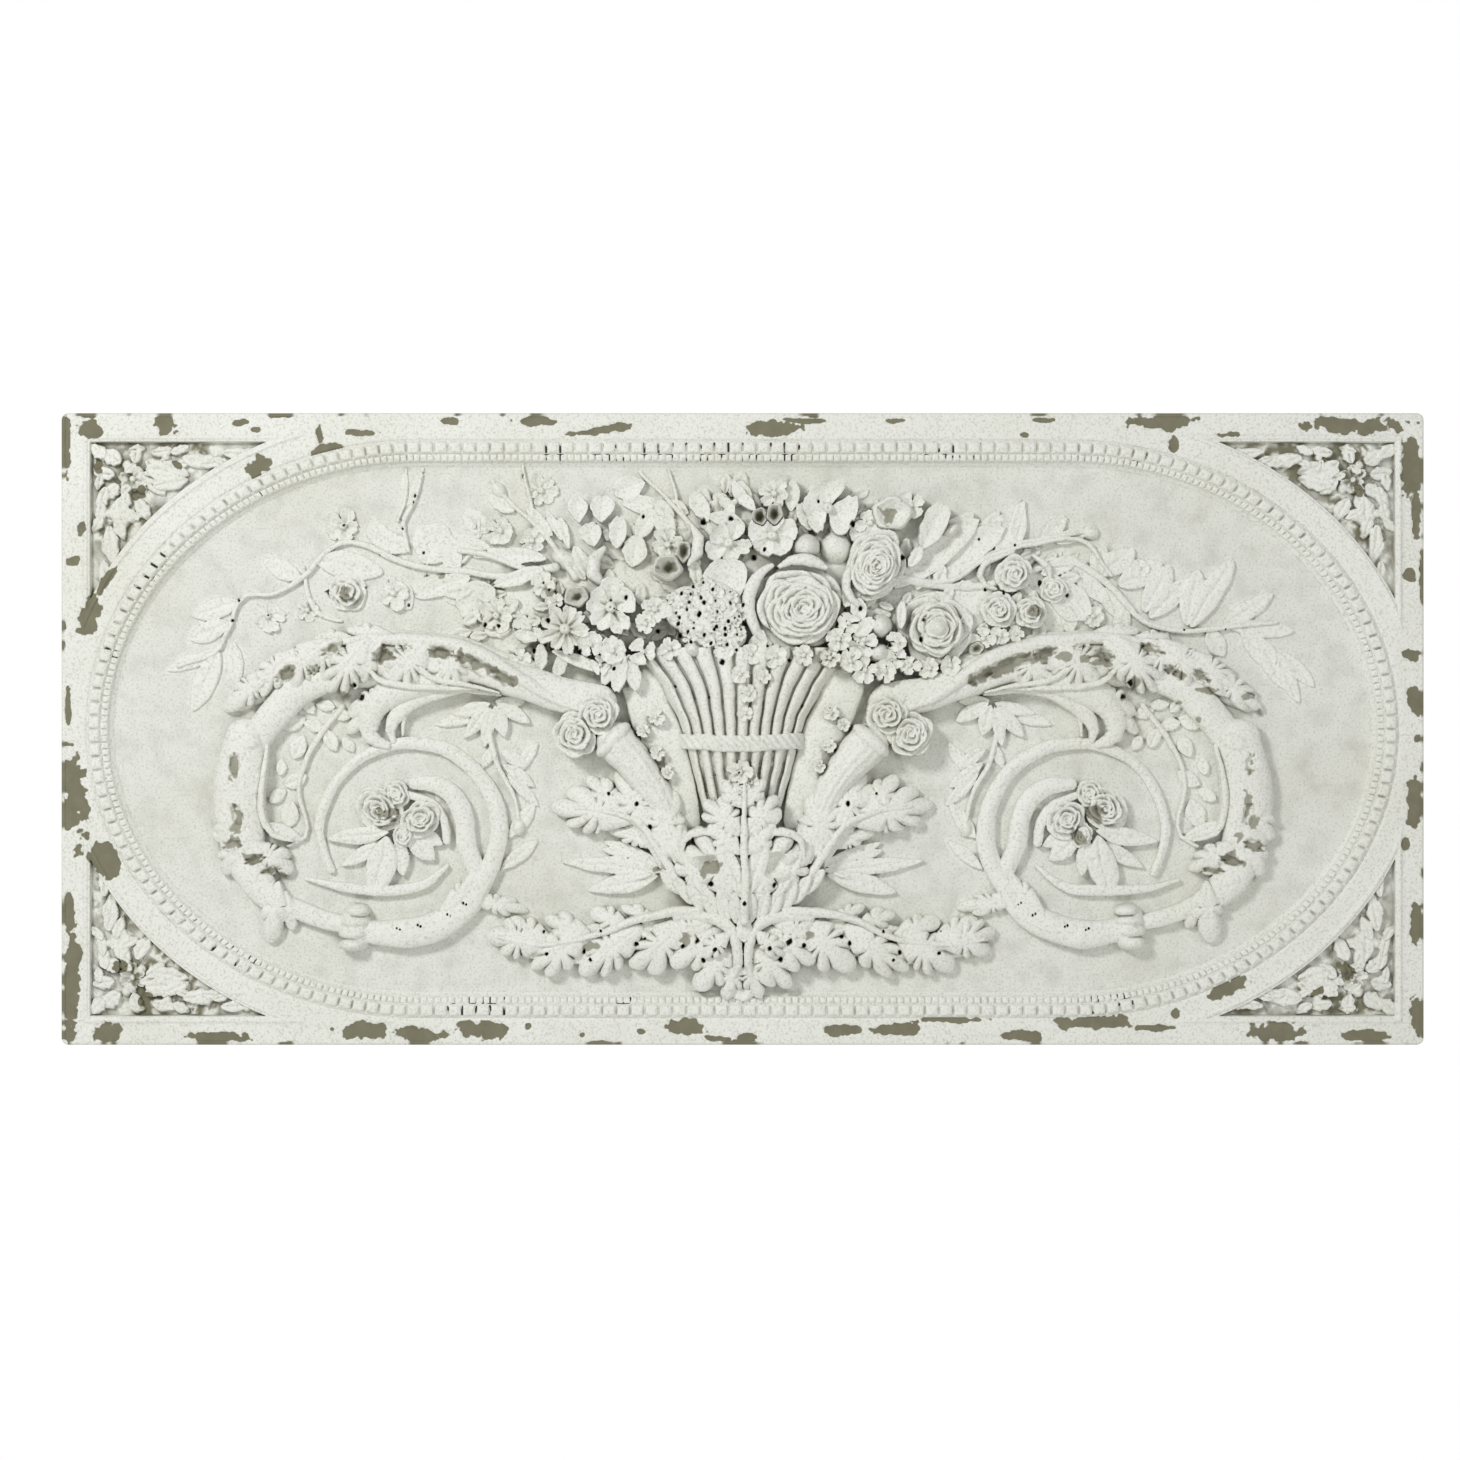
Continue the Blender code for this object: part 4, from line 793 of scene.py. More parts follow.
bouquet = {
    "mound": [
        (30, 128, 160, 70, 22), (-110, 112, 92, 58, 15), (200, 112, 100, 56, 15), (-180, 110, 110, 52, 9),
        (20, 180, 140, 62, 14), (270, 125, 90, 46, 7),
    ],
    "roses": [  # x, y, radius, top, squash, lean, turn, rings
        (53, 121, 46, 51, 0.96, 0, 20, 7), (61, 118, 35, 54.5, 1.0, 0, 70, 7),
        (131, 161, 37, 47, 0.8, 70, 60, 7), (133, 159, 27, 50, 0.78, 70, 10, 7),
        (191, 99, 38, 41, 1.0, 0, 100, 4), (191, 99, 28, 43, 1.0, 0, 60, 4),
        (253, 119, 19, 30, 1.0, 0, 10, 4), (286, 115, 17, 27, 1.0, 0, 60, 4),
        (268, 154, 19, 27, 1.0, 0, 30, 4), (309, 138, 14, 18, 1.0, 0, 80, 4),
    ],
    "hornRoses": [(-142, 15, 21, 42, 1.0, 0, 0, 4), (-165, -6, 23, 39, 1.0, 0, 40, 4)],
    "undergrowth": 340,
    "rims": [  # petals seen on edge: path, width, height
        ([(28, 84), (11, 100), (6, 124), (14, 148), (28, 160)], (5, 11, 13, 11, 5), (34, 43, 46, 45, 40)),
        ([(36, 160), (50, 168), (66, 166), (80, 158)], (5, 11, 12, 6), (40, 46, 46, 42)),
        ([(108, 162), (101, 146), (106, 130), (118, 120)], (5, 9, 9, 5), (34, 42, 42, 38)),
        ([(-136, 178), (-146, 166), (-147, 152), (-138, 142)], (5, 13, 14, 6), (22, 30, 31, 25)),
        ([(-50, 202), (-43, 190), (-44, 172), (-52, 162)], (4, 11, 12, 5), (28, 37, 38, 32)),
        ([(268, 176), (240, 164), (236, 148), (250, 140)], (4, 6, 6, 4), (14, 18, 18, 14)),
        ([(288, 172), (302, 160), (306, 148)], (4, 7, 4), (14, 18, 14)),
    ],
    "cups": [  # x, y, half length, half width, turn, low, top
        (-164, 130, 12, 12, 0, 10, 30), (-75, 159, 16, 13, 10, 14, 38), (-57, 175, 8, 11, -10, 20, 36),
        (17, 209, 8, 9, 0, 20, 38), (31, 212, 8, 11, 0, 18, 37), (148, 212, 20, 18, 0, 14, 24),
        (232, 78, 8, 7, 20, 8, 18),
    ],
    "blossoms": [  # x, y, radius, top, petals, turn
        (29, 191, 25, 46, 5, 20), (-13, 184, 23, 34, 5, 60), (-8, 224, 15, 26, 2, 40),
        (30, 233, 16, 26, 6, 50), (86, 218, 27, 36, 3, 90), (126, 204, 14, 26, 4, 10),
        (166, 222, 14, 20, 4, 30), (-130, 119, 28, 42, 5, 18), (-175, 97, 26, 36, 9, 0),
        (-196, 142, 13, 24, 5, 0), (-185, 127, 10, 26, 5, 40), (-74, 182, 17, 32, 6, 10),
        (-86, 118, 14, 40, 6, 30), (-96, 104, 11, 40, 5, 0), (-243, 113, 18, 17, 5, 10),
        (-212, 100, 16, 22, 4, 50), (-220, 71, 11, 20, 4, 0), (-241, 197, 15, 9, 5, 10),
        (-200, 237, 18, 6, 7, 0), (-209, 186, 14, 10, 5, 20), (-98, 77, 14, 40, 3, 250),
        (-150, 84, 13, 34, 4, 60), (-128, 78, 14, 38, 4, 20), (-140, 64, 10, 28, 3, 200),
        (-3, 52, 10, 49, 5, 0), (8, 74, 11, 46, 5, 0), (33, 72, 13, 46, 5, 30), (-20, 76, 12, 45, 5, 60),
        (60, 72, 11, 44, 5, 10), (-70, 78, 12, 42, 5, 40), (94, 88, 13, 44, 5, 20), (106, 68, 13, 42, 4, 60),
        (86, 70, 11, 43, 5, 0), (150, 70, 12, 36, 4, 30), (165, 62, 11, 34, 4, 0), (184, 60, 11, 32, 5, 10),
        (118, 84, 15, 41, 4, 20), (152, 86, 11, 38, 4, 50), (120, 58, 13, 40, 5, 10),
        (140, 56, 12, 36, 4, 30), (104, 104, 12, 41, 3, 60), (206, 62, 12, 30, 4, 40),
        (238, 88, 12, 22, 4, 0), (254, 92, 11, 20, 4, 40), (270, 94, 9, 17, 4, 0), (5, 34, 9, 49, 5, 0),
        (2, 16, 8, 47, 5, 30), (20, 52, 8, 49, 5, 60), (348, 112, 12, 9, 5, 0), (-85, 12, 9, 30, 5, 0),
        (-97, -2, 8, 30, 5, 0), (-84, -24, 8, 30, 5, 0), (-74, -42, 7, 30, 5, 0), (88, 18, 9, 30, 5, 0),
        (100, 6, 8, 30, 5, 0), (86, -16, 8, 30, 5, 0), (76, -36, 7, 30, 5, 0),
    ],
    "clusters": [
        (-32, 112, 34, 50, 22, 8.0, 8, 0), (-56, 118, 22, 48, 9, 7.5, 5, 40),
        (-14, 92, 17, 47, 6, 7.5, 4, 90),
    ],
    "balls": [  # x, y, half length, half width, turn, low, top
        (61, 180, 14, 13, 0, 22, 47), (191, 99, 12, 11, 0, 34, 49), (137, 101, 12, 11, 0, 20, 43),
        (134, 75, 11, 10, 30, 20, 41), (-49, 78, 8, 8, 0, 30, 47), (92, 179, 17, 16, 40, 14, 28),
        (-177, 168, 15, 9, 150, 2, 12), (-151, 162, 9, 9, 0, 6, 22), (-240, 237, 9, 7, 130, 2, 9),
        (346, 195, 9, 8, 20, 1, 7), (224, 88, 9, 8, 0, 8, 22), (207, 196, 8, 6, 30, 12, 22),
    ],
    "petals": [  # x, y, turn, length, width, low, high, taper
        (-14, 118, 92, 52, 44, 38, 40, 1.4), (4, 120, 112, 44, 22, 34, 33, 1.2),
        (116, 104, 96, 26, 17, 38, 37, 1.2), (156, 98, 86, 28, 10, 38, 36, 1.1),
        (110, 92, 40, 26, 15, 40, 38, 1.1), (178, 176, 66, 52, 26, 28, 30, 1.3),
        (164, 158, 56, 26, 12, 30, 30, 1.0), (150, 138, 42, 112, 34, 24, 12, 1.25),
        (172, 140, 36, 110, 30, 19, 9, 1.2), (200, 142, 52, 96, 26, 14, 7, 1.1),
        (252, 172, 66, 64, 20, 10, 5, 1.0), (272, 180, 84, 46, 16, 9, 5, 1.0),
        (296, 182, 50, 40, 18, 9, 5, 1.0), (312, 184, 24, 34, 16, 8, 5, 1.0),
        (296, 152, 24, 40, 18, 12, 9, 1.1), (302, 146, 320, 56, 34, 14, 8, 1.2),
        (318, 168, 316, 62, 20, 10, 6, 1.0), (240, 104, 260, 26, 14, 18, 12, 1.0),
        (270, 104, 262, 24, 14, 18, 12, 1.0), (296, 108, 262, 24, 14, 14, 9, 1.0),
        (322, 122, 280, 28, 16, 9, 6, 1.0), (-34, 206, 118, 34, 18, 24, 22, 1.2),
        (-34, 212, 344, 36, 16, 26, 24, 1.1), (-162, 204, 96, 28, 20, 14, 13, 1.4),
        (-140, 204, 88, 28, 24, 15, 14, 1.4), (-146, 180, 104, 26, 22, 13, 14, 1.3),
        (-124, 178, 86, 34, 19, 18, 22, 1.2), (-194, 168, 172, 62, 15, 18, 8, 1.0),
        (-196, 158, 196, 54, 15, 22, 12, 0.9), (-244, 172, 160, 44, 18, 8, 5, 1.0),
        (-244, 140, 210, 46, 36, 14, 7, 1.1), (-220, 128, 208, 34, 18, 16, 8, 1.1),
        (-204, 108, 238, 34, 16, 20, 11, 1.0), (-198, 84, 262, 28, 14, 20, 12, 1.0),
        (-176, 74, 250, 26, 14, 22, 12, 1.0), (-118, 78, 262, 44, 16, 38, 32, 1.0),
        (-112, 74, 282, 40, 15, 36, 30, 1.0), (-124, 72, 244, 32, 14, 32, 24, 1.0),
        (-188, 76, 342, 66, 12, 22, 24, 1.0), (-96, 246, 200, 36, 24, 9, 5, 1.2),
        (-76, 222, 176, 46, 17, 11, 5, 1.1), (-64, 206, 170, 40, 17, 13, 6, 1.1),
        (-66, 192, 128, 36, 20, 18, 10, 1.1), (-104, 190, 60, 34, 20, 14, 10, 1.1),
        (-110, 160, 78, 34, 24, 16, 14, 1.1), (46, 214, 82, 34, 16, 20, 14, 1.1),
        (6, 216, 108, 34, 14, 20, 14, 1.1), (110, 186, 64, 30, 18, 26, 20, 1.1),
        (66, 196, 112, 30, 16, 26, 22, 1.1), (118, 184, 96, 34, 16, 24, 18, 1.1),
        (148, 196, 60, 30, 16, 20, 14, 1.1), (-270, 150, 196, 60, 20, 8, 5, 1.0),
        (-282, 158, 120, 44, 26, 7, 4, 1.0), (-226, 216, 150, 30, 14, 6, 4, 1.0),
        (-190, 190, 128, 40, 12, 10, 6, 1.0), (-180, 186, 116, 34, 10, 10, 6, 1.0),
        (-172, 178, 108, 36, 10, 11, 7, 1.0), (-230, 60, 196, 34, 14, 12, 6, 1.0),
        (100, 120, 60, 34, 20, 34, 30, 1.2), (20, 98, 250, 26, 20, 40, 36, 1.2),
    ],
    "stems": [
        ([(-165, 150), (-200, 195), (-225, 220), (-246, 246)], (7, 5, 4), (12, 8, 6)),
        ([(-205, 200), (-218, 262)], (4, 3), (6, 5)),
        ([(-46, 196), (-62, 216), (-86, 240), (-102, 256)], (6, 5, 4), (14, 10, 6)),
        ([(-50, 196), (-62, 222), (-74, 258)], (5, 4, 3), (14, 9, 5)),
        ([(150, 148), (200, 142), (250, 146), (300, 160), (340, 165)], (9, 8, 7, 6), (24, 15, 11, 9)),
        ([(240, 170), (274, 184), (322, 192), (346, 196)], (6, 5, 4), (10, 8, 6)),
        ([(-186, 160), (-232, 152), (-280, 156)], (9, 8, 7), (18, 13, 9)),
        ([(-280, 176), (-250, 172), (-214, 158), (-186, 148)], (6, 6, 6, 6), (8, 10, 14, 18)),
        ([(140, 150), (200, 146), (243, 170), (286, 183), (338, 186), (366, 152)], (5, 5, 5, 5, 5, 4),
         (26, 19, 14, 12, 10, 8)),
    ],
    "eyes": [
        (-254, 103, 2.6), (-241, 103, 2.8), (-218, 252, 2.2), (-218, 244, 2.0), (-62, 230, 2.2),
        (-64, 238, 1.8), (-150, 212, 2.0), (-144, 204, 1.8), (-39, 206, 4.0), (-11, 207, 3.6), (-21, 64, 3.6),
        (-160, 76, 3.2), (-192, 106, 3.4), (-206, 78, 2.8), (-126, 60, 2.6), (116, 120, 4.2), (145, 84, 4.4),
        (11, 168, 4.2), (110, 204, 3.6), (76, 224, 2.4), (34, 254, 2.4), (46, 68, 2.4), (78, 66, 3.0),
        (158, 168, 3.4), (176, 88, 3.6), (178, 106, 3.2), (296, 144, 3.0), (258, 136, 2.6), (240, 140, 2.2),
        (322, 132, 2.4), (-130, 126, 1.6), (-126, 118, 1.4), (-114, 128, 2.8), (-84, 96, 3.2), (-60, 92, 2.6),
        (-196, 145, 1.5), (-190, 138, 1.4), (0, 104, 3.0), (22, 176, 2.6), (-98, 212, 2.0), (234, 186, 1.8),
        (270, 182, 1.8), (326, 180, 1.6),
    ],
}


# Domes of the mound carry the undergrowth: a petal wherever the highest dome, top * (1 - u^2 - v^2), is above
# the field. The drawn stems, petals, flowers, roses, balls and cups come over it.
def carveBouquet(layer):
    for x, y, length, width, top in bouquet["mound"]:
        boss(layer, x, y, length, width, 0, -2, top, 0.8)
    chance = np.random.default_rng(41)
    ranges = ((-290, 350), (58, 242), (-60, 60), (14, 30), (1, 9))
    for x, y, turn, length, lift in zip(*[chance.uniform(*ends, bouquet["undergrowth"]) for ends in ranges]):
        level = max(top * (1 - ((x - mx) / rx) ** 2 - ((y - my) / ry) ** 2)
                    for mx, my, rx, ry, top in bouquet["mound"])
        if level > 0:
            turn += math.degrees(math.atan2(y - 40, x))
            blade(layer, x, y, turn, length, 0.55 * length, level + lift, level + lift - 2, 1.1, 0.6, 3, 1.5,
                  1.6, ruffle=0.1)
    for points, width, height in bouquet["stems"]:
        vine(layer, points, width, height)
    for x, y, turn, length, width, low, high, taper in bouquet["petals"]:
        blade(layer, x, y, turn, length, width, low, high, taper, 0.55, 2.4, 0.16 * width, 0.8, 3,
              ruffle=0.06, split=0.06)
    for x, y, radius, top, florets, size, drop, turn in bouquet["clusters"]:
        cluster(layer, x, y, radius, top, florets, size, drop, turn)
    for x, y, radius, top, petals, turn in bouquet["blossoms"]:
        blossom(layer, x, y, radius, top, petals, 0.24, turn)
    for points, width, height in bouquet["rims"]:
        vine(layer, points, width, height, 0.9)
    for x, y, radius, top, squash, lean, turn, rings in bouquet["roses"]:
        rose(layer, x, y, radius, top, squash, lean, turn, rings)
    for x, y, length, width, turn, low, top in bouquet["balls"]:
        boss(layer, x, y, length, width, turn, low, top, 0.6)
    for spot in bouquet["cups"]:
        cup(layer, *spot)
    for x, y, radius in bouquet["eyes"]:
        drill(x, y, radius, 9, 0.95)
    for side in (-1, 1):
        for x, y, radius, top, squash, lean, turn, rings in bouquet["hornRoses"]:
            rose(layer, -side * x, y, radius, top, squash, lean, turn * -side, rings)


# Sprigs that reach along the top, left and right

sprigs = {
    "stems": [
        ([(-270, 154), (-306, 158), (-340, 166), (-372, 182), (-392, 184), (-414, 174), (-436, 150),
         (-466, 134), (-497, 130), (-510, 98), (-524, 77), (-560, 62)], (6, 6, 5, 4, 4), (7, 7, 6, 6, 5)),
        ([(330, 166), (352, 152), (370, 135), (390, 115), (410, 103), (440, 98), (480, 100), (530, 106)],
         (8, 7, 6, 5, 4), (10, 9, 8, 7, 6)),
        ([(-318, 258), (-324, 232), (-336, 206), (-332, 176)], (3, 5, 5, 4), (3, 5, 5, 6)),
        ([(-334, 258), (-334, 234), (-341, 208)], (3, 4, 3), (2, 3, 3)),
        ([(-300, 160), (-276, 166), (-262, 186), (-262, 206)], (4, 4, 3, 3), (5, 4, 3, 3)),
        ([(-436, 160), (-432, 132), (-418, 112), (-398, 108)], (3, 5, 5, 3), (3, 4, 4, 3)),
    ],
    "leaves": [  # root, tip, width, height
        ((-438, 148), (-478, 169), 20, 6), ((-424, 166), (-356, 157), 28, 7),
        ((-318, 164), (-296, 204), 44, 6), ((-330, 176), (-374, 198), 24, 6),
        ((-352, 182), (-366, 208), 18, 5), ((-300, 168), (-268, 190), 28, 4),
        ((-500, 126), (-546, 112), 22, 6), ((-508, 106), (-548, 88), 20, 6),
        ((-278, 214), (-250, 196), 24, 3), ((-506, 88), (-502, 42), 18, 5), ((-520, 78), (-547, 18), 24, 6),
        ((-522, 76), (-572, 58), 14, 5), ((-290, 150), (-252, 140), 34, 5), ((-352, 152), (-330, 120), 26, 5),
        ((-300, 138), (-268, 128), 22, 4), ((352, 150), (360, 182), 22, 7), ((356, 152), (388, 180), 24, 8),
        ((372, 142), (416, 166), 24, 8), ((398, 118), (424, 164), 26, 8), ((404, 112), (442, 150), 22, 7),
        ((440, 104), (452, 160), 24, 8), ((444, 102), (486, 168), 26, 8), ((478, 102), (528, 134), 20, 7),
        ((484, 100), (548, 98), 18, 6), ((496, 98), (524, 60), 18, 6), ((510, 92), (542, 38), 20, 6),
        ((528, 78), (554, 26), 17, 6), ((536, 76), (568, 42), 15, 5), ((462, 98), (478, 72), 20, 6),
        ((352, 140), (384, 108), 20, 7), ((346, 150), (330, 118), 22, 7), ((380, 122), (372, 92), 18, 6),
        ((420, 100), (412, 74), 16, 6),
    ],
    "eyes": [
        (-411, 144, 2.8), (-413, 136, 3.4), (-411, 128, 2.8), (-325, 232, 2.2), (-326, 226, 2.0),
        (-318, 254, 2.4), (-338, 209, 2.2), (-337, 200, 2.0), (-360, 172, 2.2), (-318, 174, 2.4),
        (-332, 124, 2.2), (-396, 202, 1.6), (-470, 113, 1.4), (-314, 153, 1.8), (-500, 127, 2.0),
        (-506, 108, 2.0), (-373, 140, 2.0), (392, 118, 2.0), (438, 100, 1.8), (404, 110, 1.8), (480, 98, 1.6),
    ],
    "buds": [
        (-397, 201, 18, 7), (392, 160, 10, 7), (-347, 136, 17, 9), (-471, 113, 17, 6), (-432, 118, 12, 5),
        (-266, 200, 12, 4),
    ],
}


# Stems with their leaves, buds, one rose and the drilled eyes.
def carveSprigs(layer):
    for points, width, height in sprigs["stems"]:
        vine(layer, points, width, height, 0.7)
    for root, tip, width, height in sprigs["leaves"]:
        blade(layer, *root, *aimed(root, tip), width, 0.75 * height, 0.5 * height, 1.0, 0.6, 1.8, 0.6, 1.1, 4)
    for x, y, radius, top in sprigs["buds"]:
        blossom(layer, x, y, radius, top, 5, 0.2)
    rose(layer, -392, 136, 20, 13, 1.0, 0, 30, 4)
    for x, y, radius in sprigs["eyes"]:
        drill(x, y, radius, 5, 1.0)


# Wear: paint chipped off the face, worn off high carving, and dirt with painted shade left in the hollows

wear = {
    "depth": 0.75,  # thickness of the paint that chips off
    "chips": [  # x, y, half length, half height, turn
        (-645, 296, 14, 9, 0), (-570, 302, 14, 11, 0), (-480, 258, 17, 12, 30), (-455, 310, 17, 4, 0),
        (-484, 298, 5, 3, 0), (-413, 277, 16, 7, 10), (-420, 293, 5, 10, 0), (-378, 293, 19, 4, 0),
        (-207, 305, 22, 5, 0), (-140, 297, 34, 5, 8), (28, 298, 34, 9, 4), (151, 305, 13, 4, 0),
        (280, 292, 6, 3, 0), (418, 304, 32, 10, 0), (428, 282, 5, 10, 0), (482, 292, 13, 4, 0),
        (600, 301, 60, 10, 0), (662, 262, 12, 38, 0), (-671, 280, 6, 34, 0), (-665, 166, 10, 6, 0),
        (-656, 197, 4, 7, 0), (-646, 112, 14, 24, -20), (-630, 145, 5, 22, -30), (-664, -66, 17, 58, 0),
        (-633, -130, 14, 22, 20), (-665, -250, 11, 52, 0), (-668, -300, 10, 14, 0), (662, 152, 8, 8, 0),
        (664, 75, 11, 11, 0), (667, 28, 9, 17, 0), (669, -9, 6, 6, 0), (665, -75, 10, 29, 0),
        (656, -112, 5, 7, 0), (668, -285, 9, 24, 0), (-630, -300, 17, 13, 0), (-520, -306, 42, 6, 0),
        (-376, -299, 28, 11, 0), (-322, -302, 24, 10, 0), (-259, -298, 26, 11, 0), (-57, -296, 24, 10, 0),
        (-26, -306, 14, 4, 0), (5, -305, 10, 4, 0), (-101, -301, 5, 3, 0), (-211, -295, 4, 4, 0),
        (-160, -302, 4, 4, 0), (100, -298, 19, 6, 0), (152, -297, 24, 7, 0), (212, -289, 40, 4, 0),
        (274, -304, 25, 7, 0), (350, -291, 46, 9, 0), (412, -296, 30, 4, 0), (429, -283, 6, 6, 0),
        (530, -300, 32, 12, 0), (480, -258, 22, 9, 20), (-590, -268, 10, 5, 30), (-560, 262, 8, 4, -30),
        (570, -262, 12, 4, 30), (668, 210, 6, 30, 0), (668, -190, 6, 26, 0), (-669, 20, 4, 24, 0),
        (-500, 305, 10, 4, 0), (300, 306, 14, 3, 0), (-290, 304, 10, 4, 0), (-668, -180, 6, 22, 0),
        (60, 306, 24, 3, 0), (620, -303, 30, 6, 0), (-600, 232, 12, 9, 40), (-640, 262, 6, 14, 0),
        (600, -240, 12, 8, -40), (612, 236, 8, 8, 0), (-618, -236, 8, 6, 0),
    ],
    "worn": [  # on the carving: x, y, half length, half height
        (-355, 72, 12, 7), (-300, 75, 10, 6), (-275, 66, 9, 5), (-250, 58, 9, 5), (-232, 50, 8, 5),
        (-398, 34, 8, 6), (-386, 44, 8, 5), (-500, -85, 5, 12), (-505, -113, 10, 12), (-490, -128, 8, 7),
        (-477, -126, 6, 5), (-455, -145, 6, 5), (-355, -84, 12, 11), (295, 70, 8, 5), (315, 72, 8, 4),
        (335, 70, 8, 4), (350, 65, 7, 4), (362, 62, 7, 4), (430, 54, 9, 5), (460, 38, 12, 4), (500, 33, 9, 5),
        (512, 18, 4, 9), (390, 45, 6, 6), (433, 25, 6, 5), (452, 9, 5, 5), (503, -40, 6, 6),
        (500, -75, 6, 14), (505, -90, 9, 13), (490, -105, 7, 7), (482, -125, 7, 8), (350, -85, 14, 12),
        (330, -105, 11, 10), (-32, -138, 13, 11), (-188, 136, 10, 6), (-300, 150, 8, 4), (-392, 132, 8, 7),
        (290, 116, 7, 5), (-84, -140, 9, 5), (-60, -208, 12, 8), (-150, -215, 10, 4), (65, -203, 8, 7),
    ],
    "stainsAndShade": [  # dirt and painted shade left between the petals of roses and leaves: x, y, half length, half height
        (44, 132, 26, 20), (38, 104, 18, 14), (126, 152, 14, 22), (176, 104, 14, 18), (204, 92, 12, 18),
        (-34, 112, 30, 26), (-130, 118, 20, 18), (-46, -212, 18, 16), (46, -212, 14, 12), (-30, -136, 22, 20),
        (30, -136, 16, 16), (-84, 60, 60, 14), (120, 78, 50, 18), (-250, 105, 24, 14), (-190, 84, 30, 16),
        (-66, 162, 20, 20), (24, 212, 24, 12), (-612, 256, 58, 52), (606, 262, 50, 40),
    ],
    "footShadeAndDirt": 1.7,  # how much darker the dirt and painted shade of the hollows are among the leaves at the foot
    "runs": [(-200, 60, 281), (-300, -230, -281), (-125, -105, -281), (180, 240, 283), (-560, -500, 262)],
}


# For each patch 1 in its middle falling to 0 at its edge; the highest is kept.
def ellipseField(patches):
    field = np.full((rows, columns), -1.0, np.float32)
    for px, py, length, height, turn in patches:
        spot, atX, atY = window(px, py, 2.2 * max(length, height))
        u, v = turned(atX, atY, px, py, turn)
        field[spot] = np.maximum(field[spot], 1 - np.hypot(u / length, v / height))
    return field


# Working the sheet

print("carving")
x, y = xs[None, :], ys[:, None]
ground, inset, inCorner = groundHeights()
cornerLayer, scrollLeft, scrollRight = newLayer(), newLayer(), newLayer()
basketLayer, footLayer, bouquetLayer, sprigLayer = newLayer(), newLayer(), newLayer(), newLayer()
for sx in (-1, 1):
    for sy in (-1, 1):
        carveCorner(cornerLayer, sx, sy)
ground = np.where(inCorner > -1.0, np.maximum(ground, cornerLayer), ground)
weaveBasket(basketLayer)
carveFoot(footLayer, -1)
carveFoot(footLayer, 1)
carveFront(footLayer)
carveScroll(scrollLeft, -1)
carveScroll(scrollRight, 1)
carveBouquet(bouquetLayer)
carveSprigs(sprigLayer)
layers = {
    "bouquet": bouquetLayer, "basket": basketLayer, "footLeaves": footLayer, "leftScroll": scrollLeft,
    "rightScroll": scrollRight, "sprigs": sprigLayer,
}

sootAndShade = np.zeros((rows, columns), np.float32)
ragged = np.abs(cloud(5.0, 18, 2))
# each drilled eye is sunk into the carving and painted near black inside: dirt and painted shade in the hole
for hx, hy, radius, depth, dirtAndShade in holes:
    spot, atX, atY = window(hx, hy, 2 * radius)
    hole = 1 - smooth(0.4, 1.0, np.hypot(atX - hx, 0.8 * (atY - hy)) / radius + 0.5 * ragged[spot])
    sootAndShade[spot] = np.maximum(sootAndShade[spot], dirtAndShade * hole)
    for layer in layers.values():
        layer[spot] = np.where(layer[spot] > 1.5, np.maximum(layer[spot] - depth * hole, 0.5), layer[spot])

print("wearing")
fine = cloud(7.0, 11)
grit = cloud(2.6, 12, 2)
chips = ellipseField(wear["chips"])
edgeNear = np.minimum(halfWidth - np.abs(x), halfHeight - np.abs(y))
nicks = np.where(inset < -2, 0.75 - 0.16 * edgeNear + 0.8 * cloud(26.0, 13, 2), -1)
flaked = smooth(0.12, 0.24, np.maximum(chips, nicks - 0.65) + 0.30 * fine + 0.14 * grit)
flaked *= inset < 1.0
spots = ellipseField([(*spot, 0) for spot in wear["worn"]] + hollowSpots)
rubbed = 0.62 * smooth(0.24, 0.42, spots + 0.55 * fine + 0.25 * grit)
crackle = cloud(5.0, 15, 2)
pits = smooth(1.05, 1.5, cloud(4.2, 16, 2))

total = np.maximum.reduce([ground, *layers.values()])
# How far each place lies below the sheet closed over gaps 1.6, 4.2 and 9 mm wide: the darker paint there is
# dirt in the narrow creases and painted shade in the wider gaps round the high carving. The bare field is a
# little darker too.
tight, wide, broad = (filled(total, radius) - total for radius in (1.6, 4.2, 9.0))
shadeAndDirt = np.maximum.reduce([0.95 * smooth(0.3, 2.2, tight), 0.6 * smooth(2.0, 9.0, wide),
                            0.6 * smooth(8.0, 26.0, broad), 0.25 * smooth(1.5, 0.5, total)])
# listed patches deepen the dirt and painted shade among the petals
stainShade = smooth(0.0, 0.5, ellipseField([(*spot, 0) for spot in wear["stainsAndShade"]]) + 0.3 * fine)
shadeAndDirt = np.clip(shadeAndDirt + 0.9 * stainShade * smooth(0.05, 0.5, shadeAndDirt), 0, 1)
# among the leaves at the foot the dirt and painted shade are darker still
shadeAndDirt = np.where(footLayer > 1.0, np.clip(wear["footShadeAndDirt"] * shadeAndDirt, 0, 1), shadeAndDirt)
onBeads = (inset > 3.4) & (inset < oval["inner"])
beadDirt = smooth(0.25, 0.9, cloud(34.0, 14, 2)) * smooth(0.1, 0.6, grit + fine)
beadDirt = beadDirt * smooth(0.35, 1.1, tight) * onBeads
for left, right, level in wear["runs"]:
    run = (x > left) & (x < right) & (np.abs(y - level) < 16) & onBeads
    beadDirt = np.maximum(beadDirt, run * smooth(0.0, 0.4, grit + 0.6 * fine) * smooth(0.3, 0.8, tight))
# speckled near black in the foot's narrow creases: dirt and painted shade
footShadeAndDirt = (footLayer > 1.0) * smooth(1.3, 3.2, tight) * smooth(0.0, 0.5, grit + fine)
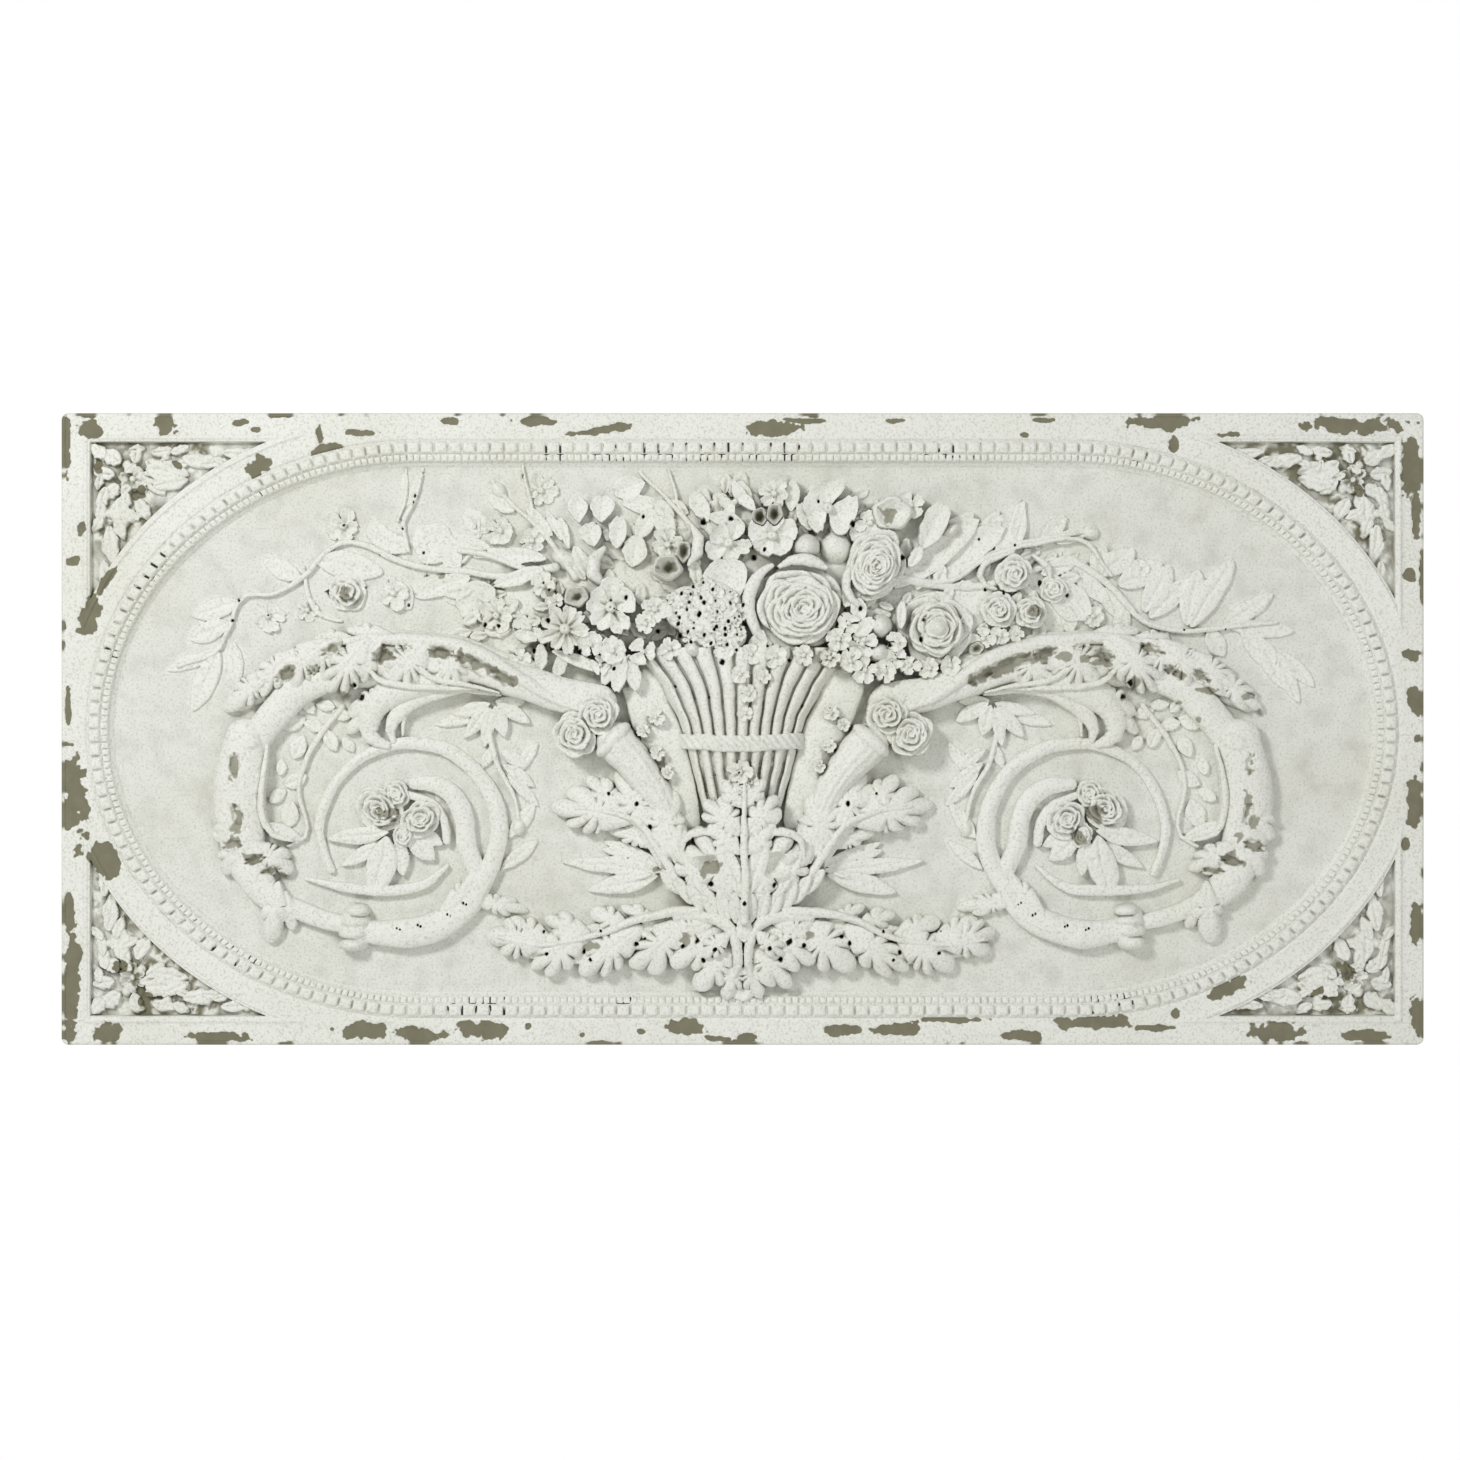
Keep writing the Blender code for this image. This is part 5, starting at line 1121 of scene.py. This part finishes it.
# near-black marks: the eyes, dirt on the beads and in the pits, and the foot's creases; in the eyes and
# creases this is painted shade as well as dirt
sootAndShade = np.maximum.reduce([sootAndShade, beadDirt, 0.75 * pits * smooth(0.3, 0.7, shadeAndDirt), 0.7 * footShadeAndDirt])
# Low ground among the corner leaves, broken by noise: painted darker there as dirt and painted shade, and
# rubbed to bare ground.
cornerLow = (inCorner > 0) * smooth(6.0, 2.0, total - panel["face"] + spandrel["depth"])
cornerLow = cornerLow * smooth(-0.5, 0.3, fine + grit)
shadeAndDirt = np.maximum(shadeAndDirt, 0.9 * cornerLow)
rubbed = np.maximum(rubbed, 0.8 * cornerLow * smooth(-0.1, 0.4, cloud(30.0, 17, 2)))
ground = ground - wear["depth"] * flaked + 0.10 * fine * (inset > -3) + 0.12 * fine * (inset <= -3)
for name in layers:
    layer = layers[name]
    soft = layer + 0.3 * fine + 0.2 * grit - 0.9 * rubbed + 0.35 * np.abs(crackle) - 1.6 * pits
    layers[name] = np.minimum(np.where(layer > 0, soft, layer), panel["reach"]).astype(np.float32)
bare = np.maximum(flaked, rubbed * ((inset > oval["inner"]) | (inCorner > 0)))
paintSheets = {"shadeAndDirt": shadeAndDirt, "bare": bare, "sootAndShade": sootAndShade}  # what the paint's material reads


# Meshes: the sheet's cells become a skin, thinned where it is flat, and closed from below


# The sheet's value at each point, by bilinear reading.
def readSheet(sheet, co):
    u = np.clip((co[:, 0] * 1000 - xs[0]) / gapX, 0, columns - 1.001)
    v = np.clip((co[:, 2] * 1000 - ys[0]) / gapY, 0, rows - 1.001)
    i, j = u.astype(int), v.astype(int)
    a, b = u - i, v - j
    return (sheet[j, i] * (1 - a) * (1 - b) + sheet[j, i + 1] * a * (1 - b) + sheet[j + 1, i] * (1 - a) * b
            + sheet[j + 1, i + 1] * a * b)


# A mesh from the places of its corners and a flat list of corner numbers, sides of them to a face.
def faceMesh(name, co, corners, sides):
    mesh = bpy.data.meshes.new(name)
    mesh.vertices.add(len(co))
    mesh.vertices.foreach_set("co", co.astype(np.float32).ravel())
    mesh.loops.add(corners.size)
    mesh.loops.foreach_set("vertex_index", corners.astype(np.int32).ravel())
    mesh.polygons.add(corners.size // sides)
    mesh.polygons.foreach_set("loop_start", np.arange(0, corners.size, sides, dtype=np.int32))
    mesh.update(calc_edges=True)
    return mesh


# The kept cells of a sheet as corners and quads, in metres, facing the viewer.
def skin(height, keep):
    used = np.zeros((rows, columns), bool)
    used[:-1, :-1] |= keep
    used[1:, :-1] |= keep
    used[:-1, 1:] |= keep
    used[1:, 1:] |= keep
    index = np.full((rows, columns), -1, np.int64)
    index[used] = np.arange(used.sum())
    j, i = np.nonzero(used)
    co = np.column_stack([xs[i], -(panel["field"] + height[j, i]), ys[j]]) / 1000
    j, i = np.nonzero(keep)
    return co, np.column_stack([index[j, i], index[j, i + 1], index[j + 1, i + 1], index[j + 1, i]])


# Blender's Decimate keeps the skin's creases and thins what is smooth.
def thinned(name, co, quads, triangles):
    mesh = faceMesh(name + "Full", co, quads, 4)
    obj = bpy.data.objects.new(name + "Full", mesh)
    bpy.context.scene.collection.objects.link(obj)
    thin = obj.modifiers.new("thin", "DECIMATE")
    thin.ratio = min(1.0, triangles / (2 * len(quads)))
    thin.use_collapse_triangulate = True
    bpy.context.view_layer.update()
    found = bpy.data.meshes.new_from_object(obj.evaluated_get(bpy.context.evaluated_depsgraph_get()))
    found.calc_loop_triangles()
    points = np.empty(3 * len(found.vertices), np.float32)
    found.vertices.foreach_get("co", points)
    faces = np.empty(3 * len(found.loop_triangles), np.int32)
    found.loop_triangles.foreach_get("vertices", faces)
    bpy.data.objects.remove(obj)
    bpy.data.meshes.remove(mesh)
    bpy.data.meshes.remove(found)
    return points.reshape(-1, 3), faces.reshape(-1, 3)


# Walls go down from every open edge into the slab, where a level fan joins them: a closed body.
def closedBelow(co, faces, depth):
    ends = np.vstack([faces[:, [0, 1]], faces[:, [1, 2]], faces[:, [2, 0]]]).astype(np.int64)
    key = ends[:, 0] * len(co) + ends[:, 1]
    back = ends[:, 1] * len(co) + ends[:, 0]
    rim, place = np.unique(ends[~np.isin(key, back)], return_inverse=True)
    a, b = rim[place.reshape(-1, 2)].T
    low = co[rim].copy()
    low[:, 1] = -(panel["field"] - depth) / 1000
    middle = low.mean(0)[None, :]
    c, d = len(co) + place.reshape(-1, 2).T
    centre = np.full(len(a), len(co) + len(rim))
    walls = [np.column_stack([b, a, c]), np.column_stack([b, c, d]), np.column_stack([d, c, centre])]
    return np.vstack([co, low, middle]), np.vstack([faces, *walls])


# The finished mesh, with each paint sheet read at its corners into an attribute, and its frame calls.
def finishPiece(name, co, faces, crease):
    mesh = faceMesh(name, co, faces, 3)
    # the slab's sides lose the face's wear, dirt and painted shade as they go back to the wall
    fade = smooth(24.0, 32.0, -1000 * co[:, 1]) if name == "slab" else 1
    for label, sheet in paintSheets.items():
        value = readSheet(sheet, co) * fade
        mesh.attributes.new(label, "FLOAT", "POINT").data.foreach_set("value", value.astype(np.float32))
    mesh.polygons.foreach_set("use_smooth", np.ones(len(mesh.polygons), bool))
    mesh.set_sharp_from_angle(angle=math.radians(crease))
    mesh.validate()
    obj = bpy.data.objects.new(name, mesh)
    bpy.context.scene.collection.objects.link(obj)
    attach(obj, "root")
    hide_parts("relief_panel")
    print(name, len(mesh.polygons), "triangles")
    return obj


budget = {  # triangles for each skin
    "face": 112000, "moulding": 142000, "field": 40000, "bouquet": 162000, "basket": 54000,
    "footLeaves": 112000, "leftScroll": 80000, "rightScroll": 80000, "sprigs": 38000,
}

joinery = {
    "groundSkirt": 12,  # how far the walls of the face, moulding and field go down
    "carvingSkirt": 6,
    "groundCrease": 38,  # edges sharper than this angle stay sharp
    "carvingCrease": 50,
}


# Cells with all four corners in the mask.
def cellsWhere(mask):
    return mask[:-1, :-1] & mask[1:, :-1] & mask[:-1, 1:] & mask[1:, 1:]


# Cells with one corner or more in the mask.
def cellsTouching(mask):
    return mask[:-1, :-1] | mask[1:, :-1] | mask[:-1, 1:] | mask[1:, 1:]


print("meshing")
pieces = []
for name, keep in (
    ("face", cellsWhere(inset < 1.5)),
    ("moulding", cellsWhere((inset > -0.5) & (inset < oval["inner"] + 1))),
    ("field", cellsWhere(inset > oval["inner"] - 0.5)),
):
    co, quads = skin(ground, keep)
    co, faces = thinned(name, co, quads, budget[name])
    co, faces = closedBelow(co, faces, joinery["groundSkirt"])
    pieces.append(finishPiece(name, co, faces, joinery["groundCrease"]))
for name, layer in layers.items():
    keep = cellsTouching(layer > panel["sunk"] + 0.01)
    co, quads = skin(layer, keep)
    co, faces = thinned(name, co, quads, budget[name])
    co, faces = closedBelow(co, faces, joinery["carvingSkirt"])
    pieces.append(finishPiece(name, co, faces, joinery["carvingCrease"]))


# The slab's own body: a rounded oblong carried from the back up its edges, just under the face's skin.
def slabBlock():
    radius, count = panel["cornerRadius"], 12
    turn = np.linspace(0, np.pi / 2, count)
    centres = [(halfWidth - radius, halfHeight - radius), (radius - halfWidth, halfHeight - radius),
               (radius - halfWidth, radius - halfHeight), (halfWidth - radius, radius - halfHeight)]
    sideX, sideY = np.cos(turn), np.sin(turn)
    outX = np.concatenate([sideX, -sideY, -sideX, sideY])
    outY = np.concatenate([sideY, sideX, -sideY, -sideX])
    cx = np.repeat([c[0] for c in centres], count)
    cy = np.repeat([c[1] for c in centres], count)
    plan = np.column_stack([cx + radius * outX, cy + radius * outY, outX, outY])
    # long sides get points of their own, so that the edge can be nicked
    stretches = []
    for a, b in zip(plan, np.roll(plan, -1, axis=0)):
        steps = max(1, int(math.dist(a[:2], b[:2]) / 5))
        stretches.append(a + (b - a) * np.linspace(0, 1, steps, endpoint=False)[:, None])
    ring = np.vstack(stretches)
    bevel, thick = panel["edgeRound"], panel["field"] + panel["face"]
    bend = np.linspace(0, np.pi / 2, 5)
    inward = np.concatenate([[6.0, 1.0, 0.0], np.full(4, 0.0), bevel * (1 - np.cos(bend)),
                             [panel["rim"] + 0.6, 6.0]])
    level = np.concatenate([[0.0, 0.0, 1.0], np.linspace(6, thick - 8, 4),
                            thick - bevel + bevel * np.sin(bend), [thick - 0.1, 14.0]])
    px = ring[None, :, 0] - inward[:, None] * np.sign(ring[None, :, 2]) * (np.abs(ring[None, :, 2]) > 1e-6)
    py = ring[None, :, 1] - inward[:, None] * np.sign(ring[None, :, 3]) * (np.abs(ring[None, :, 3]) > 1e-6)
    px = np.where(inward[:, None] < radius, ring[None, :, 0] - inward[:, None] * ring[None, :, 2], px)
    py = np.where(inward[:, None] < radius, ring[None, :, 1] - inward[:, None] * ring[None, :, 3], py)
    co = np.stack([px, np.broadcast_to(-level[:, None], px.shape), py], axis=-1).reshape(-1, 3) / 1000
    many, n = len(level), len(ring)
    r, c = np.meshgrid(np.arange(many - 1), np.arange(n), indexing="ij")
    a, b = r * n + c, r * n + (c + 1) % n
    quads = np.stack([a, a + n, b + n, b], axis=-1).reshape(-1, 4)
    faces = np.vstack([quads[:, [0, 1, 2]], quads[:, [0, 2, 3]]])
    caps = []
    for row, flip in ((0, False), (many - 1, True)):
        middle = len(co)
        co = np.vstack([co, [[0, -level[row] / 1000, 0]]])
        edge = row * n + np.arange(n)
        fan = np.column_stack([edge, np.roll(edge, -1), np.full(n, middle)])
        caps.append(fan[:, ::-1] if flip else fan)
    return co, np.vstack([faces, *caps])


co, faces = slabBlock()
volume = np.einsum("ij,ij->i", co[faces[:, 0]], np.cross(co[faces[:, 1]], co[faces[:, 2]])).sum()
if volume < 0:
    faces = faces[:, ::-1]
pieces.append(finishPiece("slab", co, faces, joinery["groundCrease"]))


# Materials


# A shader value that Python's own operators work on, each adding one Math node.
class Sockets:
    def __init__(self, tree, socket):
        self.tree, self.socket = tree, socket

    def maths(self, operation, other=None, flip=False, clamp=False):
        values = [self, other] if not flip else [other, self]
        return addNode(self.tree, "ShaderNodeMath", {"operation": operation, "use_clamp": clamp},
                       {i: v for i, v in enumerate(values) if v is not None})

    def __add__(self, other):
        return self.maths("ADD", other)

    def __radd__(self, other):
        return self.maths("ADD", other)

    def __sub__(self, other):
        return self.maths("SUBTRACT", other)

    def __rsub__(self, other):
        return self.maths("SUBTRACT", other, True)

    def __mul__(self, other):
        return self.maths("MULTIPLY", other)

    def __rmul__(self, other):
        return self.maths("MULTIPLY", other)

    def clipped(self):
        return self.maths("ADD", 0.0, clamp=True)


# One node: its settings first, then a value or a link for each socket.
def addNode(tree, kind, settings=None, values=None, out=0):
    node = tree.nodes.new(kind)
    for key, value in (settings or {}).items():
        setattr(node, key, value)
    for key, value in (values or {}).items():
        if isinstance(value, Sockets):
            tree.links.new(value.socket, node.inputs[key])
        else:
            node.inputs[key].default_value = value
    return Sockets(tree, node.outputs[out])


# Screen colour out of 255 made linear: ((v / 255 + 0.055) / 1.055)^2.4.
def linear(r, g, b):
    return tuple(((v / 255 + 0.055) / 1.055) ** 2.4 for v in (r, g, b)) + (1.0,)


finish = {
    "paint": linear(232, 233, 226),
    "warm": linear(219, 219, 207),
    "ground": linear(134, 132, 110),
    "groundDark": linear(104, 101, 78),
    "dust": linear(186, 186, 170),
    # colour of the dirt and painted shade in the hollows
    "dirtAndShade": linear(90, 87, 64),
    # colour of the soot and painted shade in the eyes and creases
    "black": linear(38, 36, 28),
    "roughness": 0.58,
    "bump": 0.7,  # how much of the brushed grain shows
    "bumpDepth": 0.001,
}


# Off-white paint with warm blotches, then dirt and painted shade in the hollows, then bare ground under the
# flaked paint, then soot and painted shade in the eyes and creases. Each is a mix by a mask from the mesh's
# own attributes, made uneven by noise.
def wornPaint():
    material = bpy.data.materials.new("wornPaint")
    material.use_nodes = True
    tree = material.node_tree
    shader = tree.nodes["Principled BSDF"]
    place = addNode(tree, "ShaderNodeTexCoord", out=3)

    def noise(scale, detail=3.0):
        return addNode(tree, "ShaderNodeTexNoise",
                       values={"Vector": place, "Scale": scale, "Detail": detail, "Roughness": 0.55})

    def mixed(factor, first, second):
        return addNode(tree, "ShaderNodeMix", {"data_type": "RGBA"}, {0: factor, 6: first, 7: second}, out=2)

    def attribute(name):
        return addNode(tree, "ShaderNodeAttribute", {"attribute_name": name}, out=2)

    shadeAndDirtMask, bareness, sootAndShadeMask = attribute("shadeAndDirt"), attribute("bare"), attribute("sootAndShade")
    blotch = noise(9.0)
    speck = noise(420.0, 2.0)
    stain = ((noise(40.0) - 0.46) * 2.2).clipped()
    colour = mixed((blotch - 0.42) * 1.6, finish["paint"], finish["warm"])
    # dirt and painted shade in the hollows, patchy by noise
    shadeAndDirtMix = (shadeAndDirtMask * 1.2 * (0.45 + stain * 0.9) - 0.05).clipped()
    colour = mixed(shadeAndDirtMix, colour, finish["dirtAndShade"])
    earth = mixed(noise(60.0, 4.0), finish["ground"], finish["groundDark"])
    colour = mixed((((0.62 - speck) * 3.0).clipped() - 0.35).clipped(), colour, finish["dust"])
    colour = mixed((bareness * 1.5 - 0.16).clipped(), colour, earth)
    # near black where the eyes and creases hold soot and painted shade
    colour = mixed(((sootAndShadeMask - 0.35 + (speck - 0.5) * 0.6) * 4.0).clipped(), colour, finish["black"])
    tree.links.new(colour.socket, shader.inputs["Base Color"])
    gloss = finish["roughness"] + (bareness * 0.22) + (speck - 0.5) * 0.12
    tree.links.new(gloss.socket, shader.inputs["Roughness"])
    relief = noise(380.0, 3.0) * 0.8 + noise(90.0, 2.0) * 0.8
    bump = addNode(tree, "ShaderNodeBump",
                   values={"Strength": finish["bump"], "Distance": finish["bumpDepth"], "Height": relief})
    tree.links.new(bump.socket, shader.inputs["Normal"])
    return material


print("painting")
paint = wornPaint()
for piece in pieces:
    piece.data.materials.append(paint)

# Stage: floor, soft studio light and the photograph's straight view

stage = {
    "floor": -0.95,  # the panel hangs on a wall, well above the floor
    "floorBack": 0.9,  # how far the floor goes behind the panel
    "floorSize": 8.0,
    "pale": linear(250, 250, 247),
    "distance": 3.65,
    "lens": 90.0,
    "aim": (-0.0125, -0.001),
    "white": 1.0,  # what the camera sees behind the panel
    "world": 0.35,  # light from all round
    "keyPlace": (-1.6, -2.6, 1.5),
    "fillPlace": (1.4, -3.0, 0.4),
    "key": 54.0,
    "fill": 0.36,  # share of the key light's power
}


# One flat square under the panel.
def floorMesh():
    half, back = stage["floorSize"] / 2, stage["floorBack"]
    mesh = bpy.data.meshes.new("floor")
    corners = [(-half, -half, 0), (half, -half, 0), (half, back, 0), (-half, back, 0)]
    mesh.from_pydata(corners, [], [(0, 1, 2, 3)])
    floor = bpy.data.objects.new("floor", mesh)
    floor.location.z = stage["floor"]
    bpy.context.scene.collection.objects.link(floor)
    material = bpy.data.materials.new("paleFloor")
    material.use_nodes = True
    material.node_tree.nodes["Principled BSDF"].inputs["Base Color"].default_value = stage["pale"]
    material.node_tree.nodes["Principled BSDF"].inputs["Roughness"].default_value = 0.9
    mesh.materials.append(material)


# A round soft light at a place, facing its aim.
def lamp(name, place, aim, size, power):
    light = bpy.data.lights.new(name, "AREA")
    light.shape, light.size, light.energy = "DISK", size, power
    obj = bpy.data.objects.new(name, light)
    obj.location = place
    obj.rotation_euler = lookAt(place, aim)
    bpy.context.scene.collection.objects.link(obj)


# Turns a light's -z to the aim: tilt acos(-dz / distance), heading atan2(-dy, -dx) and a quarter turn.
def lookAt(place, aim):
    dx, dy, dz = (a - p for a, p in zip(aim, place))
    return (math.acos(-dz / math.dist(place, aim)), 0.0, math.atan2(-dy, -dx) - math.pi / 2 + math.pi)


print("lighting")
floorMesh()
lamp("keyLight", stage["keyPlace"], (0, 0, 0), 0.7, stage["key"])
lamp("fillLight", stage["fillPlace"], (0, 0, 0), 2.2, stage["fill"] * stage["key"])
world = bpy.data.worlds.new("studio")
bpy.context.scene.world = world
world.use_nodes = True
air = world.node_tree
seen = addNode(air, "ShaderNodeLightPath")
brightness = seen * (stage["white"] - stage["world"]) + stage["world"]
air.links.new(brightness.socket, air.nodes["Background"].inputs["Strength"])
air.nodes["Background"].inputs["Color"].default_value = (1, 1, 1, 1)

camera = bpy.data.cameras.new("camera")
camera.lens, camera.sensor_width = stage["lens"], 36.0
cameraObject = bpy.data.objects.new("camera", camera)
cameraObject.location = (stage["aim"][0], -stage["distance"], stage["aim"][1])
cameraObject.rotation_euler = (math.pi / 2, 0, 0)
bpy.context.scene.collection.objects.link(cameraObject)
bpy.context.scene.camera = cameraObject
bpy.context.scene.view_settings.view_transform = "Standard"
